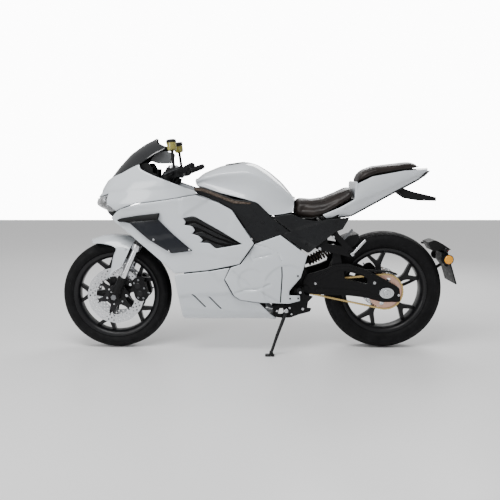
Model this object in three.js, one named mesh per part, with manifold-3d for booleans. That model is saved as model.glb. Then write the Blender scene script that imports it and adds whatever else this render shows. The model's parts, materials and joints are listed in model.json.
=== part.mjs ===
// Electric sport motorcycle, standing upright on its two tyres and its side stand.
// Millimetres, +Z up, +X towards the rear wheel, +Y towards the rider's right hand.
// The origin is on the ground, under the middle of the machine.
import * as THREE from "three";
import { mergeVertices } from "three/addons/utils/BufferGeometryUtils.js";
import Module from "manifold-3d";

const wasm = await Module();
wasm.setup();

// ---------------------------------------------------------------- driving dimensions
const FRONT_AXLE = { x: -757, z: 291 };
const REAR_AXLE = { x: 673, z: 315 };
const FRONT_TYRE = { radius: 291, halfWidth: 55, flat: 15 };
const REAR_TYRE = { radius: 315, halfWidth: 68, flat: 22 };
const RIM_LIP_RADIUS = 228;
const RIM_WELL_RADIUS = 215;
const WHEEL_FACETS = 28;
const SPOKES = 5;

const RAKE = THREE.MathUtils.degToRad(25);
const LEG_Y = 100;
const STEM_OFFSET = 33;
const OUTER_TUBE_RADIUS = 22;
const INNER_TUBE_RADIUS = 16.5;

const PIVOT = { x: 248, z: 340 };
const PIVOT_PIN_RADIUS = 12;
const CHAIN_Y = -81;
const DRIVE_PITCH_RADIUS = 28.5;
const REAR_PITCH_RADIUS = 93;
const CHAIN_HALF_HEIGHT = 6.5;

const SHOCK_FRONT = { x: 238, z: 450 };
const SHOCK_REAR = { x: 410, z: 540 };

const STAND_PIVOT = new THREE.Vector3(148, -150, 224);
const STAND_FOOT = new THREE.Vector3(60, -200, 5);
const STAND_FOLDED = new THREE.Vector3(0.98, -0.12, 0.15);

const RIDER_PEG = { x: 213, y: 145, z: 337 };
const PILLION_PEG = { x: 487, y: 134, z: 520 };
const PILLION_PEG_RISE = THREE.MathUtils.degToRad(48);

const PANEL = 4;
const SEAM = 2;
const FIT = 0.4;
const LEFT = -1;
const RIGHT = 1;

// ---------------------------------------------------------------- materials
function finish(color, roughness, metalness = 0) {
  return new THREE.MeshStandardMaterial({ color, roughness, metalness });
}
const WHITE = finish(0xe9eaec, 0.22);
const BLACK = finish(0x17181a, 0.55);
const SATIN = finish(0x222326, 0.38);
const LEATHER = finish(0x231f1e, 0.5);
const RUBBER = finish(0x111112, 0.85);
const SILVER = finish(0xb9bcc0, 0.32, 0.9);
const STEEL = finish(0x8b8e92, 0.35, 0.95);
const GOLD = finish(0xa98a4e, 0.4, 0.85);
const COPPER = finish(0xb98a78, 0.4, 0.8);
const SMOKED = finish(0x2b2f33, 0.08);
const LAMP = finish(0xbfc8d0, 0.08);
const RED = finish(0xc01a1a, 0.4);
const AMBER = finish(0xd8801c, 0.35);

// ---------------------------------------------------------------- solids
function solidOf(geometry) {
  const bare = geometry.clone();
  bare.deleteAttribute("normal");
  bare.deleteAttribute("uv");
  const merged = mergeVertices(bare, 1e-4);
  const position = merged.attributes.position;
  const corner = [new THREE.Vector3(), new THREE.Vector3(), new THREE.Vector3()];
  const triangles = [];
  let volume = 0;
  for (let i = 0; i < merged.index.count; i += 3) {
    const ids = [0, 1, 2].map((k) => merged.index.getX(i + k));
    if (ids[0] === ids[1] || ids[1] === ids[2] || ids[2] === ids[0]) {
      continue;
    }
    ids.forEach((id, k) => corner[k].fromBufferAttribute(position, id));
    volume += corner[0].dot(corner[1].clone().cross(corner[2]));
    triangles.push(ids);
  }
  const facing = volume < 0 ? triangles.map(([a, b, c]) => [a, c, b]) : triangles;
  return new wasm.Manifold(new wasm.Mesh({
    numProp: 3,
    vertProperties: new Float32Array(position.array),
    triVerts: new Uint32Array(facing.flat()),
  }));
}

function geometryOf(solid) {
  const mesh = solid.getMesh();
  const geometry = new THREE.BufferGeometry();
  geometry.setAttribute("position", new THREE.BufferAttribute(new Float32Array(mesh.vertProperties), 3));
  geometry.setIndex(new THREE.BufferAttribute(new Uint32Array(mesh.triVerts), 1));
  geometry.computeVertexNormals();
  return geometry;
}

function join(...solids) {
  return solids.reduce((whole, next) => whole.add(next));
}

function cut(solid, ...tools) {
  return tools.reduce((rest, tool) => rest.subtract(tool), solid);
}

// An outline lists [x, z] or [x, z, corner radius].
function shapeOf(outline) {
  const shape = new THREE.Shape();
  const corners = outline.map(([x, z, r]) => ({ at: new THREE.Vector2(x, z), r: r ?? 0 }));
  if (THREE.ShapeUtils.isClockWise(corners.map(({ at }) => at))) {
    corners.reverse();
  }
  corners.forEach(({ at, r }, i) => {
    const before = corners[(i + corners.length - 1) % corners.length].at;
    const after = corners[(i + 1) % corners.length].at;
    const entry = at.clone().add(before.clone().sub(at).setLength(r));
    const exit = at.clone().add(after.clone().sub(at).setLength(r));
    if (i === 0) {
      shape.moveTo(entry.x, entry.y);
    } else {
      shape.lineTo(entry.x, entry.y);
    }
    if (r > 0) {
      shape.quadraticCurveTo(at.x, at.y, exit.x, exit.y);
    }
  });
  shape.closePath();
  return shape;
}

// A prism whose side view is the outline, from y = low to y = high.
function prism(outline, low, high, holes = []) {
  const shape = shapeOf(outline);
  shape.holes = holes.map((hole) => shapeOf(hole));
  const geometry = new THREE.ExtrudeGeometry(shape, { depth: high - low, bevelEnabled: false, curveSegments: 2 });
  geometry.rotateX(Math.PI / 2);
  geometry.translate(0, high, 0);
  return solidOf(geometry);
}

function sidePrism(side, outline, low, high, holes = []) {
  return side === LEFT ? prism(outline, -high, -low, holes) : prism(outline, low, high, holes);
}

function block(xLow, xHigh, yLow, yHigh, zLow, zHigh) {
  const geometry = new THREE.BoxGeometry(xHigh - xLow, yHigh - yLow, zHigh - zLow);
  geometry.translate((xLow + xHigh) / 2, (yLow + yHigh) / 2, (zLow + zHigh) / 2);
  return solidOf(geometry);
}

function rod(from, to, radius, sides = 12, endRadius = radius) {
  const start = new THREE.Vector3(...from);
  const run = new THREE.Vector3(...to).sub(start);
  const geometry = new THREE.CylinderGeometry(endRadius, radius, run.length(), sides);
  geometry.translate(0, run.length() / 2, 0);
  geometry.applyQuaternion(new THREE.Quaternion().setFromUnitVectors(
    new THREE.Vector3(0, 1, 0), run.clone().normalize()));
  geometry.translate(start.x, start.y, start.z);
  return solidOf(geometry);
}

function rodY(x, z, yLow, yHigh, radius, sides = 16) {
  return rod([x, yLow, z], [x, yHigh, z], radius, sides);
}

function tube(points, radius, sides = 8, steps = points.length * 3) {
  const path = new THREE.CatmullRomCurve3(points.map((point) => new THREE.Vector3(...point)));
  const section = new THREE.Shape();
  for (let i = 0; i <= sides; i += 1) {
    const angle = (i / sides) * 2 * Math.PI;
    const x = radius * Math.cos(angle);
    const y = radius * Math.sin(angle);
    if (i === 0) {
      section.moveTo(x, y);
    } else {
      section.lineTo(x, y);
    }
  }
  return solidOf(new THREE.ExtrudeGeometry(section, { steps, extrudePath: path, bevelEnabled: false }));
}

// A closed ring profile of [radius, y], turned about the Y axis through a wheel centre.
function turned(profile, centre, facets = WHEEL_FACETS) {
  const points = [...profile, profile[0]].map(([r, y]) => new THREE.Vector2(r, y));
  const geometry = new THREE.LatheGeometry(points, facets, Math.PI / facets);
  geometry.translate(centre.x, 0, centre.z);
  return solidOf(geometry);
}

// A closed profile of [radius, height], turned about a line parallel to Z.
function turnedUpright(profile, x, y, facets = 16) {
  const points = [...profile, profile[0]].map(([r, z]) => new THREE.Vector2(r, z));
  const geometry = new THREE.LatheGeometry(points, facets);
  geometry.rotateX(Math.PI / 2);
  geometry.translate(x, y, 0);
  return solidOf(geometry);
}

// A curved sheet between two surfaces given over u and v, each from 0 to 1.
function sheet(outer, inner, across, up) {
  const position = [];
  const index = [];
  const columns = across + 1;
  const layer = columns * (up + 1);
  for (const surface of [outer, inner]) {
    for (let j = 0; j <= up; j += 1) {
      for (let i = 0; i <= across; i += 1) {
        position.push(...surface(i / across, j / up));
      }
    }
  }
  const quad = (a, b, c, d) => index.push(a, b, c, a, c, d);
  for (let j = 0; j < up; j += 1) {
    for (let i = 0; i < across; i += 1) {
      const a = j * columns + i;
      quad(a, a + 1, a + 1 + columns, a + columns);
      quad(layer + a, layer + a + columns, layer + a + 1 + columns, layer + a + 1);
    }
  }
  for (let i = 0; i < across; i += 1) {
    const top = up * columns + i;
    quad(i, layer + i, layer + i + 1, i + 1);
    quad(top, top + 1, layer + top + 1, layer + top);
  }
  for (let j = 0; j < up; j += 1) {
    const a = j * columns;
    const b = a + across;
    quad(a, a + columns, layer + a + columns, layer + a);
    quad(b, layer + b, layer + b + columns, b + columns);
  }
  const geometry = new THREE.BufferGeometry();
  geometry.setAttribute("position", new THREE.Float32BufferAttribute(position, 3));
  geometry.setIndex(index);
  return solidOf(geometry);
}

// A side panel: its outline in the side view, bent to a half-width given over x and z.
function panel(side, outline, halfWidth, inset = 0, thickness = PANEL, cell = 95) {
  const xs = outline.map(([x]) => x);
  const zs = outline.map(([, z]) => z);
  const box = { x: Math.min(...xs) - 1, z: Math.min(...zs) - 1 };
  const size = { x: Math.max(...xs) + 1 - box.x, z: Math.max(...zs) + 1 - box.z };
  const surface = (depth) => (u, v) => {
    const x = box.x + u * size.x;
    const z = box.z + v * size.z;
    return [x, side * (halfWidth(x, z) - depth), z];
  };
  const bent = sheet(surface(inset), surface(inset + thickness),
    Math.ceil(size.x / cell), Math.ceil(size.z / cell));
  return bent.intersect(sidePrism(side, outline, 20, 320));
}

// Closed rings of equal length, skinned and capped.
function loft(rings) {
  const count = rings[0].length;
  const position = rings.flat(2);
  const index = [];
  for (let j = 0; j + 1 < rings.length; j += 1) {
    for (let i = 0; i < count; i += 1) {
      const a = j * count + i;
      const b = j * count + ((i + 1) % count);
      index.push(a, b, b + count, a, b + count, a + count);
    }
  }
  const last = (rings.length - 1) * count;
  for (let i = 1; i + 1 < count; i += 1) {
    index.push(0, i + 1, i);
    index.push(last, last + i, last + i + 1);
  }
  const geometry = new THREE.BufferGeometry();
  geometry.setAttribute("position", new THREE.Float32BufferAttribute(position, 3));
  geometry.setIndex(index);
  return solidOf(geometry);
}

function interpolate(table, at) {
  const after = table.findIndex(([key]) => key >= at);
  if (after === 0) {
    return table[0][1];
  }
  if (after < 0) {
    return table[table.length - 1][1];
  }
  const [[keyA, valueA], [keyB, valueB]] = [table[after - 1], table[after]];
  return valueA + ((at - keyA) / (keyB - keyA)) * (valueB - valueA);
}

// ---------------------------------------------------------------- body surfaces
const BODY_REACH = 650;
const BODY_POWER = 2.4;
const PROW = [[700, -815], [748, -838], [778, -861], [798, -855], [842, -819], [889, -791],
  [970, -728], [1037, -666], [1090, -590], [1119, -528]];

function bodyWidest(z) {
  const above = Math.max(0, z - 600) / 230;
  const below = Math.max(0, 600 - z) / 180;
  return 215 - 4 * above ** 4 - 10 * below ** 2;
}

function roundNose(behindProw) {
  const s = Math.min(1, Math.max(0, behindProw) / BODY_REACH);
  return (1 - (1 - s) ** BODY_POWER) ** (1 / BODY_POWER);
}

function bodyHalfWidth(x, z) {
  return bodyWidest(z) * roundNose(x - interpolate(PROW, z));
}

function coverHalfWidth(x, z) {
  const back = Math.max(0, x + 172) / 424;
  return 203 - 38 * back ** 1.6 - 12 * ((z - 430) / 160) ** 2;
}

function frameCoverHalfWidth(x, z) {
  const down = (820 - z) / 230;
  const back = Math.max(0, x + 100) / 260;
  return Math.max(160 + 30 * down - 30 * back ** 2, 152 - 25 * Math.max(0, x - 69) / 405);
}

// The wrap-round skin of the nose, between two heights, set in by a depth.
function noseSkin(zLow, zHigh, reach, inset, thickness, across, up) {
  const surface = (depth) => (u, v) => {
    const turn = 2 * u - 1;
    const z = zLow + v * (zHigh - zLow);
    const behind = reach * turn * turn;
    const y = Math.sign(turn) * bodyWidest(z) * roundNose(behind) - depth * turn;
    return [interpolate(PROW, z) + behind + depth, y, z];
  };
  return sheet(surface(inset), surface(inset + thickness), across, up);
}

// ---------------------------------------------------------------- assembly
const motorcycle = new THREE.Group();

function add(name, solid, material, parent = motorcycle) {
  const mesh = new THREE.Mesh(geometryOf(solid), material.clone());
  mesh.name = name;
  parent.add(mesh);
}

function sideName(base, side) {
  return `${base}_${side === LEFT ? "left" : "right"}`;
}

// ---------------------------------------------------------------- fairings
const COWL_SEAM = [[-729, 743], [-707, 756], [-616, 785], [-464, 806], [-314, 831]];

function noseCowl() {
  const outline = [[-880, 815], [-838, 815], [-773, 836], ...COWL_SEAM,
    [-316, 851], [-456, 900], [-602, 961, 12], [-606, 984], [-700, 938], [-797, 884], [-880, 874]];
  const skin = noseSkin(735, 990, 560, 0, PANEL, 16, 4);
  return skin.intersect(prism(outline, -240, 240));
}

function headlight() {
  const outline = [[-880, 773], [-859, 773], [-760, 737], [-731, 744], [-776, 828], [-842, 807], [-880, 807]];
  return noseSkin(725, 835, 200, 5, 26, 10, 2).intersect(prism(outline, -180, 180));
}

function windscreen() {
  const outline = [[-880, 878], [-797, 889], [-700, 941], [-602, 988], [-456, 1070], [-528, 1119],
    [-880, 1119]];
  return noseSkin(865, 1119, 200, 0, 3.5, 14, 4).intersect(prism(outline, -200, 200));
}

function sideFairing(side) {
  const top = COWL_SEAM.map(([x, z]) => [x, z - SEAM]).reverse();
  const outline = [...top, [-767, 705], [-660, 628], [-515, 506], [-446, 446, 8], [-428, 427, 8],
    [-249, 447], [-96, 479], [-22, 586], [-134, 754], [-202, 791]];
  const skin = panel(side, outline, bodyHalfWidth);
  const slots = [0, 1, 2, 3].map((i) => {
    const x = -370 + i * 62;
    const z = 704 - i * 30;
    return sidePrism(side, [[x, z], [x + 42, z], [x + 96, z - 88], [x + 78, z - 92]], 20, 320);
  });
  return cut(skin, ...slots);
}

function winglet(side) {
  const standOff = -5;
  const plate = panel(side, [[-700, 691], [-644, 695], [-506, 706], [-427, 630], [-332, 548],
    [-440, 534], [-556, 602], [-655, 684]], bodyHalfWidth, standOff - PANEL);
  const blade = panel(side, [[-726, 699], [-712, 706], [-615, 724], [-498, 739], [-506, 708], [-638, 697],
    [-713, 689]], bodyHalfWidth, standOff - 14, 14);
  return join(plate, blade);
}

// The trough under the battery: a U in the end view, trimmed to its side view.
function bellyPan() {
  const outline = [[-428, 424], [-392, 188], [-288, 180], [-94, 178], [98, 180], [84, 186], [76, 199], [5, 273],
    [-96, 288], [-129, 312], [-175, 398], [-146, 462], [-249, 443]];
  const wall = (offset) => [[-199, 475], [-182, 330], [-152, 205], [-125, 178], [125, 178], [152, 205],
    [182, 330], [199, 475]].map(([y, z]) => [y * (1 - offset / 180), z + (z < 300 ? offset : 1)]);
  const ring = (x, offset) => wall(offset).map(([y, z]) => [x, y, z]);
  const outside = loft([ring(-440, 0), ring(112, 0)]);
  const inside = loft([ring(-445, PANEL), ring(117, PANEL)]);
  return cut(outside, inside).intersect(prism(outline, -220, 220));
}

function batteryCover(side) {
  const outline = [[-18, 579], [112, 623], [252, 518, 10], [220, 404], [160, 334, 8], [160, 311, 6],
    [217, 308], [218, 280], [157, 265], [5, 277], [-92, 293], [-124, 316], [-170, 401], [-141, 461],
    [-90, 477]];
  return panel(side, outline, coverHalfWidth);
}

function frameCover(side) {
  const outline = [[-331, 868], [-278, 867], [-121, 806], [-20, 796], [64, 718], [166, 732], [235, 703],
    [300, 692], [352, 701], [474, 712], [437, 650], [399, 635], [262, 526], [150, 602], [119, 628],
    [-17, 590], [-20, 590],
    [-130, 756], [-200, 796], [-311, 833]];
  return panel(side, outline, frameCoverHalfWidth);
}

// The tank-shaped cover, open underneath.
function tankCover() {
  const stations = [
    // x, ridge height, crease half-width, crease height, foot half-width, foot height
    [-318, 905, 95, 896, 108, 882],
    [-287, 933, 125, 908, 142, 873],
    [-195, 971, 140, 930, 152, 838],
    [-63, 994, 148, 938, 158, 807],
    [-7, 979, 149, 922, 156, 794],
    [59, 941, 145, 892, 148, 728],
    [125, 883, 128, 856, 130, 731],
    [176, 822, 112, 812, 114, 738],
    [186, 800, 108, 795, 110, 740],
  ];
  const ring = ([x, ridge, wide, crease, foot, base], wall) => [
    [x, 0, ridge - wall], [x, 0.55 * wide, ridge - wall - (ridge - crease) * 0.22],
    [x, wide - wall, crease - wall], [x, foot - wall, base + 20], [x, foot - wall, wall > 0 ? base - 60 : base],
    [x, wall - foot, wall > 0 ? base - 60 : base], [x, wall - foot, base + 20], [x, wall - wide, crease - wall],
    [x, -0.55 * wide, ridge - wall - (ridge - crease) * 0.22]];
  const outside = loft(stations.map((station) => ring(station, 0)));
  const inside = loft(stations.slice(1, -1).map((station) => ring(station, PANEL)));
  return cut(outside, inside);
}

// ---------------------------------------------------------------- seats and tail
function cushion(stations) {
  return loft(stations.map(([x, top, bottom, wide]) => [
    [x, -wide * 0.6, top], [x, -wide, (top * 2 + bottom) / 3], [x, -wide * 0.94, bottom],
    [x, wide * 0.94, bottom], [x, wide, (top * 2 + bottom) / 3], [x, wide * 0.6, top]]));
}

function riderSeat() {
  return cushion([[190, 790, 720, 96], [216, 800, 703, 104], [284, 795, 696, 118], [345, 806, 714, 126],
    [412, 833, 765, 128], [470, 862, 796, 124], [500, 858, 818, 118]]);
}

function pillionSeat() {
  return cushion([[507, 905, 884, 92], [520, 932, 890, 98], [556, 961, 908, 102], [610, 976, 932, 98],
    [703, 984, 946, 88], [790, 996, 960, 74], [832, 984, 974, 60]]);
}

function tailCowl() {
  const outline = [[334, 725], [417, 760], [499, 805], [502, 878], [592, 921], [761, 951], [898, 957, 4],
    [843, 906], [716, 842], [482, 717], [353, 702]];
  const half = (x) => interpolate([[330, 131], [502, 124], [592, 108], [761, 80], [843, 60], [900, 34]], x);
  const ring = (x, wall) => {
    const wide = half(x) - wall;
    return [[x, -wide * 0.98, 690], [x, -wide, 800], [x, -wide, 960], [x, wide, 960], [x, wide, 800],
      [x, wide * 0.98, 690]];
  };
  const xs = [330, 502, 592, 761, 843, 900];
  const outside = loft(xs.map((x) => ring(x, 0)));
  const trough = loft([325, 502, 592, 761, 800].map((x) => ring(x, PANEL)));
  const floor = prism([[320, 600], [470, 600], [486, 724], [714, 846], [800, 888], [800, 1000], [320, 1000]],
    -200, 200);
  return cut(outside.intersect(prism(outline, -200, 200)), trough.intersect(floor));
}

// ---------------------------------------------------------------- frame
function mirrored(make) {
  return join(make(LEFT), make(RIGHT));
}

function pivotPlate(side) {
  const plate = sidePrism(side, [[172, 500, 10], [232, 500, 10], [262, 400], [284, 345, 14], [270, 300],
    [258, 218, 8], [235, 208], [138, 205, 8], [128, 240, 8], [182, 310], [168, 400]], 92, 102);
  const pin = rodY(PIVOT.x, PIVOT.z, side === LEFT ? -123 : 101, side === LEFT ? -101 : 123, PIVOT_PIN_RADIUS);
  return join(plate, pin);
}

function pillionHanger(side) {
  const plate = sidePrism(side, [[330, 688], [386, 712, 4], [400, 690], [412, 630], [499, 540, 6], [502, 508, 8],
    [470, 507, 8], [345, 535, 6], [298, 548, 8], [300, 575]], 110, 122,
  [[[360, 640], [392, 655], [396, 606], [440, 560], [360, 572]]]);
  const along = new THREE.Vector3(Math.sin(PILLION_PEG_RISE), 0, -Math.cos(PILLION_PEG_RISE));
  const ears = [-1, 1].map((end) => {
    const centre = new THREE.Vector3(PILLION_PEG.x, 0, PILLION_PEG.z).addScaledVector(along, end * 15);
    const tip = centre.clone().addScaledVector(along, end * 5);
    return rod([centre.x, side * 118, centre.z], [centre.x, side * 141, centre.z], 5, 8)
      .add(rod([centre.x, side * PILLION_PEG.y, centre.z], [tip.x, side * PILLION_PEG.y, tip.z], 7, 8));
  });
  const from = new THREE.Vector3(PILLION_PEG.x, 0, PILLION_PEG.z).addScaledVector(along, -16);
  const to = new THREE.Vector3(PILLION_PEG.x, 0, PILLION_PEG.z).addScaledVector(along, 16);
  const pin = rod([from.x, side * PILLION_PEG.y, from.z], [to.x, side * PILLION_PEG.y, to.z], 3, 8);
  return join(plate, ...ears, pin);
}

function forkFrame() {
  const group = new THREE.Group();
  group.position.set(FRONT_AXLE.x, 0, FRONT_AXLE.z);
  group.rotation.y = RAKE;
  group.updateMatrix();
  return group;
}

function fromForkFrame(solid) {
  const geometry = geometryOf(solid);
  geometry.applyMatrix4(forkFrame().matrix);
  return solidOf(geometry);
}

function headTube() {
  const ring = turnedUpright([[16, 482], [30, 482], [30, 706], [16, 706]], STEM_OFFSET, 0, 16);
  return fromForkFrame(ring);
}

function mainFrame() {
  const spar = (side) => tube([[-462, side * 24, 850], [-400, side * 70, 812], [-290, side * 112, 750],
    [-100, side * 124, 680], [70, side * 116, 615], [200, side * 97, 480]], 15, 6, 8);
  const seatRail = (side) => tube([[60, side * 116, 622], [200, side * 110, 672], [345, side * 108, 688],
    [430, side * 106, 738], [520, side * 96, 800], [690, side * 54, 876]], 10, 6, 8);
  const crossTubes = join(rodY(205, 495, -98, 98, 11, 10), rodY(330, 684, -104, 104, 9, 8),
    rodY(520, 800, -96, 96, 8, 8), rodY(-150, 695, -122, 122, 11, 10), rodY(680, 872, -58, 58, 8, 8));
  const clevis = mirrored((side) => sidePrism(side, [[195, 504], [215, 504], [252, 462], [252, 440, 5],
    [226, 440, 5], [195, 486]], 17, 24));
  const shockPin = rodY(SHOCK_FRONT.x, SHOCK_FRONT.z, -22, 22, 7, 12);
  const noseStay = rod([-470, 0, 815], [-742, 0, 852], 9, 8);
  const whole = join(headTube(), mirrored(spar), mirrored(seatRail), crossTubes, mirrored(pivotPlate),
    mirrored(pillionHanger), clevis, shockPin, noseStay);
  return cut(whole, fromForkFrame(rod([STEM_OFFSET, 0, 470], [STEM_OFFSET, 0, 718], 17, 16)));
}

function batteryPack() {
  const box = prism([[-388, 250, 14], [-388, 520, 20], [-300, 560, 20], [40, 560, 14], [40, 208, 10],
    [-350, 208, 14]], -120, 120);
  const grooves = [-300, -220, -140, -60].map((x) => join(
    block(x, x + 24, -130, -112, 230, 530), block(x, x + 24, 112, 130, 230, 530)));
  return cut(box, ...grooves);
}

function motor() {
  const body = rodY(150, 345, -64, 64, 94, 20);
  const ribs = [-36, 0, 36].map((y) => rodY(150, 345, y - 4, y + 4, 99, 20));
  const reduction = prism([[150, 400], [262, 382, 14], [290, 345, 14], [276, 306, 14], [150, 290]], -64, 30);
  return join(body, ...ribs, reduction);
}

// ---------------------------------------------------------------- steering and fork
function tripleClamp() {
  const plate = (low, high) => {
    const shape = shapeOf([[-30, -130, 26], [30, -130, 22], [62, -34, 16], [62, 34, 16], [30, 130, 22],
      [-30, 130, 26], [-12, 40, 20], [-12, -40, 20]]);
    const geometry = new THREE.ExtrudeGeometry(shape, { depth: high - low, bevelEnabled: false, curveSegments: 2 });
    geometry.translate(0, 0, low);
    return solidOf(geometry);
  };
  const stem = rod([STEM_OFFSET, 0, 440], [STEM_OFFSET, 0, 746], 16, 16);
  const whole = join(plate(440, 478), plate(712, 736), stem);
  return cut(whole, ...[LEFT, RIGHT].map((side) =>
    rod([0, side * LEG_Y, 400], [0, side * LEG_Y, 780], OUTER_TUBE_RADIUS + FIT, 16)));
}

function forkTube(side) {
  return turnedUpright([[0, 640], [17, 640], [17, 277], [OUTER_TUBE_RADIUS, 277], [OUTER_TUBE_RADIUS, 744],
    [12, 752], [0, 752]], 0, side * LEG_Y, 16);
}

function forkLower(side) {
  const slider = turnedUpright([[0, -34], [16, -34], [24, -20], [24, 104], [19, 114], [INNER_TUBE_RADIUS, 114],
    [INNER_TUBE_RADIUS, 520], [0, 520]], 0, side * LEG_Y, 16);
  const clampBoss = rodY(0, 0, side * LEG_Y - 22, side * LEG_Y + 22, 26, 16);
  const lug = sidePrism(side, [[18, 24], [60, 22, 8], [66, 44, 8], [22, 60]], 82, 96);
  const whole = join(slider, clampBoss, lug);
  return cut(whole, rodY(0, 0, -140, 140, 10 + FIT, 14));
}

function frontFender() {
  const profile = [[97, 115], [262, 112], [300, 82], [317, 42], [322, 0], [317, -42], [300, -82], [262, -112],
    [97, -115], [97, -112], [260, -109], [297, -80], [314, -41], [319, 0], [314, 41], [297, 80], [260, 109],
    [97, 112]];
  const shell = turned(profile, FRONT_AXLE, 40);
  const outline = [[-879, 567], [-900, 640], [-600, 660], [-636, 590], [-653, 575], [-683, 513], [-713, 449],
    [-788, 383, 4], [-766, 439], [-753, 511], [-738, 546, 8], [-752, 560, 8]];
  const legPaths = [LEFT, RIGHT].map((side) => fromForkFrame(
    rod([0, side * LEG_Y, 60], [0, side * LEG_Y, 420], OUTER_TUBE_RADIUS + 3, 16)));
  return cut(shell.intersect(prism(outline, -130, 130)), ...legPaths);
}

function caliper(side, centre, angle, low, high, slot) {
  const body = sidePrism(side, [[-66, -14, 8], [-40, -36, 8], [40, -36, 8], [66, -14, 8], [66, 22, 8],
    [44, 36, 10], [-44, 36, 10], [-66, 22, 8]], low, high);
  const geometry = geometryOf(body);
  geometry.rotateY(angle);
  geometry.translate(centre.x, 0, centre.z);
  return cut(solidOf(geometry), slot);
}

function discSlot(side, axle, radius, low, high) {
  return rodY(axle.x, axle.z, side === LEFT ? -high : low, side === LEFT ? -low : high, radius + 3, 30);
}

function brakeDisc(side, axle, radius, inner, low, high, boreRadius) {
  const yLow = side === LEFT ? -high : low;
  const yHigh = side === LEFT ? -low : high;
  const windows = [...Array(6).keys()].map((i) => {
    const at = (turn, r) => {
      const angle = ((i + turn) / 6) * 2 * Math.PI;
      return [axle.x + r * Math.cos(angle), axle.z + r * Math.sin(angle)];
    };
    return prism([at(0.16, inner), at(0.5, inner + 6), at(0.84, inner), at(0.5, 54)],
      yLow - 5, yHigh + 5);
  });
  const disc = rodY(axle.x, axle.z, yLow, yHigh, radius, 30);
  return cut(disc, rodY(axle.x, axle.z, yLow - 5, yHigh + 5, boreRadius, 16), ...windows);
}

// ---------------------------------------------------------------- wheels
function rim(axle, half, hubLow, hubHigh, boreRadius, phase) {
  const edge = [[199, half * 0.5], [208, half - 3], [RIM_LIP_RADIUS, half], [RIM_LIP_RADIUS, half - 4],
    [RIM_WELL_RADIUS, half - 6]];
  const ring = turned([...edge, ...edge.map(([r, y]) => [r, -y]).reverse()], axle);
  const spoke = (i) => {
    const angle = phase + (i / SPOKES) * 2 * Math.PI;
    const fork = THREE.MathUtils.degToRad(13);
    const at = (r, turn, width) => [
      axle.x + r * Math.cos(angle + turn) - width * Math.sin(angle + turn),
      axle.z + r * Math.sin(angle + turn) + width * Math.cos(angle + turn)];
    return prism([at(24, 0, -17), at(142, 0, -13), at(202, -fork, -9), at(202, -fork, 9), at(160, 0, 0),
      at(202, fork, -9), at(202, fork, 9), at(142, 0, 13), at(24, 0, 17)], -15, 15);
  };
  const hub = rodY(axle.x, axle.z, hubLow, hubHigh, 34, 20);
  const whole = join(ring, hub, ...[...Array(SPOKES).keys()].map(spoke));
  return cut(whole, rodY(axle.x, axle.z, hubLow - 5, hubHigh + 5, boreRadius, 20));
}

function tyre(axle, { radius, halfWidth, flat }, rimHalf) {
  const corner = radius / Math.cos(Math.PI / WHEEL_FACETS);
  const bead = rimHalf - 6 - FIT;
  const half = [[RIM_WELL_RADIUS + FIT, bead], [RIM_LIP_RADIUS + 1, bead + 2], [248, halfWidth],
    [radius - 14, halfWidth * 0.72], [corner, flat]];
  const outer = [...half, ...half.map(([r, y]) => [r, -y]).reverse()];
  const wall = radius - 20;
  const inner = [[RIM_WELL_RADIUS + FIT, 10 - bead], [wall, 18 - halfWidth], [wall, halfWidth - 18],
    [RIM_WELL_RADIUS + FIT, bead - 10]];
  return turned([...outer, ...inner], axle);
}

function sprocket(centre, radius, low, high, bore, facets) {
  return cut(rodY(centre.x, centre.z, low, high, radius, facets),
    rodY(centre.x, centre.z, low - 3, high + 3, bore, 16));
}

// The loop round both sprockets: two arcs joined by their common tangents.
function chainOutline(offset) {
  const run = Math.hypot(REAR_AXLE.x - PIVOT.x, REAR_AXLE.z - PIVOT.z);
  const lean = Math.atan2(REAR_AXLE.z - PIVOT.z, REAR_AXLE.x - PIVOT.x);
  const spread = Math.acos((DRIVE_PITCH_RADIUS - REAR_PITCH_RADIUS) / run);
  const arc = (centre, radius, from, to, steps) => [...Array(steps + 1).keys()].map((i) => {
    const angle = from + (i / steps) * (to - from);
    return [centre.x + radius * Math.cos(angle), centre.z + radius * Math.sin(angle)];
  });
  const drive = arc(PIVOT, DRIVE_PITCH_RADIUS + offset, lean + spread, lean + 2 * Math.PI - spread, 10);
  const rear = arc(REAR_AXLE, REAR_PITCH_RADIUS + offset, lean - spread, lean + spread, 22);
  return [...drive, ...rear];
}

function chain() {
  return prism(chainOutline(CHAIN_HALF_HEIGHT), CHAIN_Y - 8, CHAIN_Y + 8, [chainOutline(-CHAIN_HALF_HEIGHT)]);
}

// ---------------------------------------------------------------- rear suspension
function swingarm() {
  const arm = (side) => {
    const outline = [[235, 318, 8], [238, 372, 10], [252, 410, 10], [347, 439], [402, 465, 12], [475, 469, 14],
      [583, 428], [682, 376], [741, 341, 12], [748, 266, 12], [648, 266, 10], [560, 290], [471, 301],
      [290, 308]];
    const window = [[446, 432, 12], [533, 412], [575, 390, 8], [572, 360, 8], [455, 388, 10]];
    const whole = sidePrism(side, outline, 96, 124, [window]);
    const plateRoom = sidePrism(side, [[200, 250], [292, 250], [292, 420], [200, 470]], 80, 103);
    const pinHole = rodY(PIVOT.x, PIVOT.z, side * 112 - 20, side * 112 + 20, PIVOT_PIN_RADIUS + FIT);
    return cut(whole, plateRoom, pinHole);
  };
  const bridge = block(296, 332, -97, 97, 314, 358);
  const upright = (side) => sidePrism(side, [[384, 455], [440, 462], [424, 550, 8], [396, 552, 8]], 96, 108);
  const topTube = rodY(SHOCK_REAR.x, SHOCK_REAR.z, -98, 98, 9, 14);
  const whole = join(mirrored(arm), bridge, mirrored(upright), topTube);
  return cut(whole, rodY(REAR_AXLE.x, REAR_AXLE.z, -140, 140, 12 + FIT, 20));
}

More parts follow.
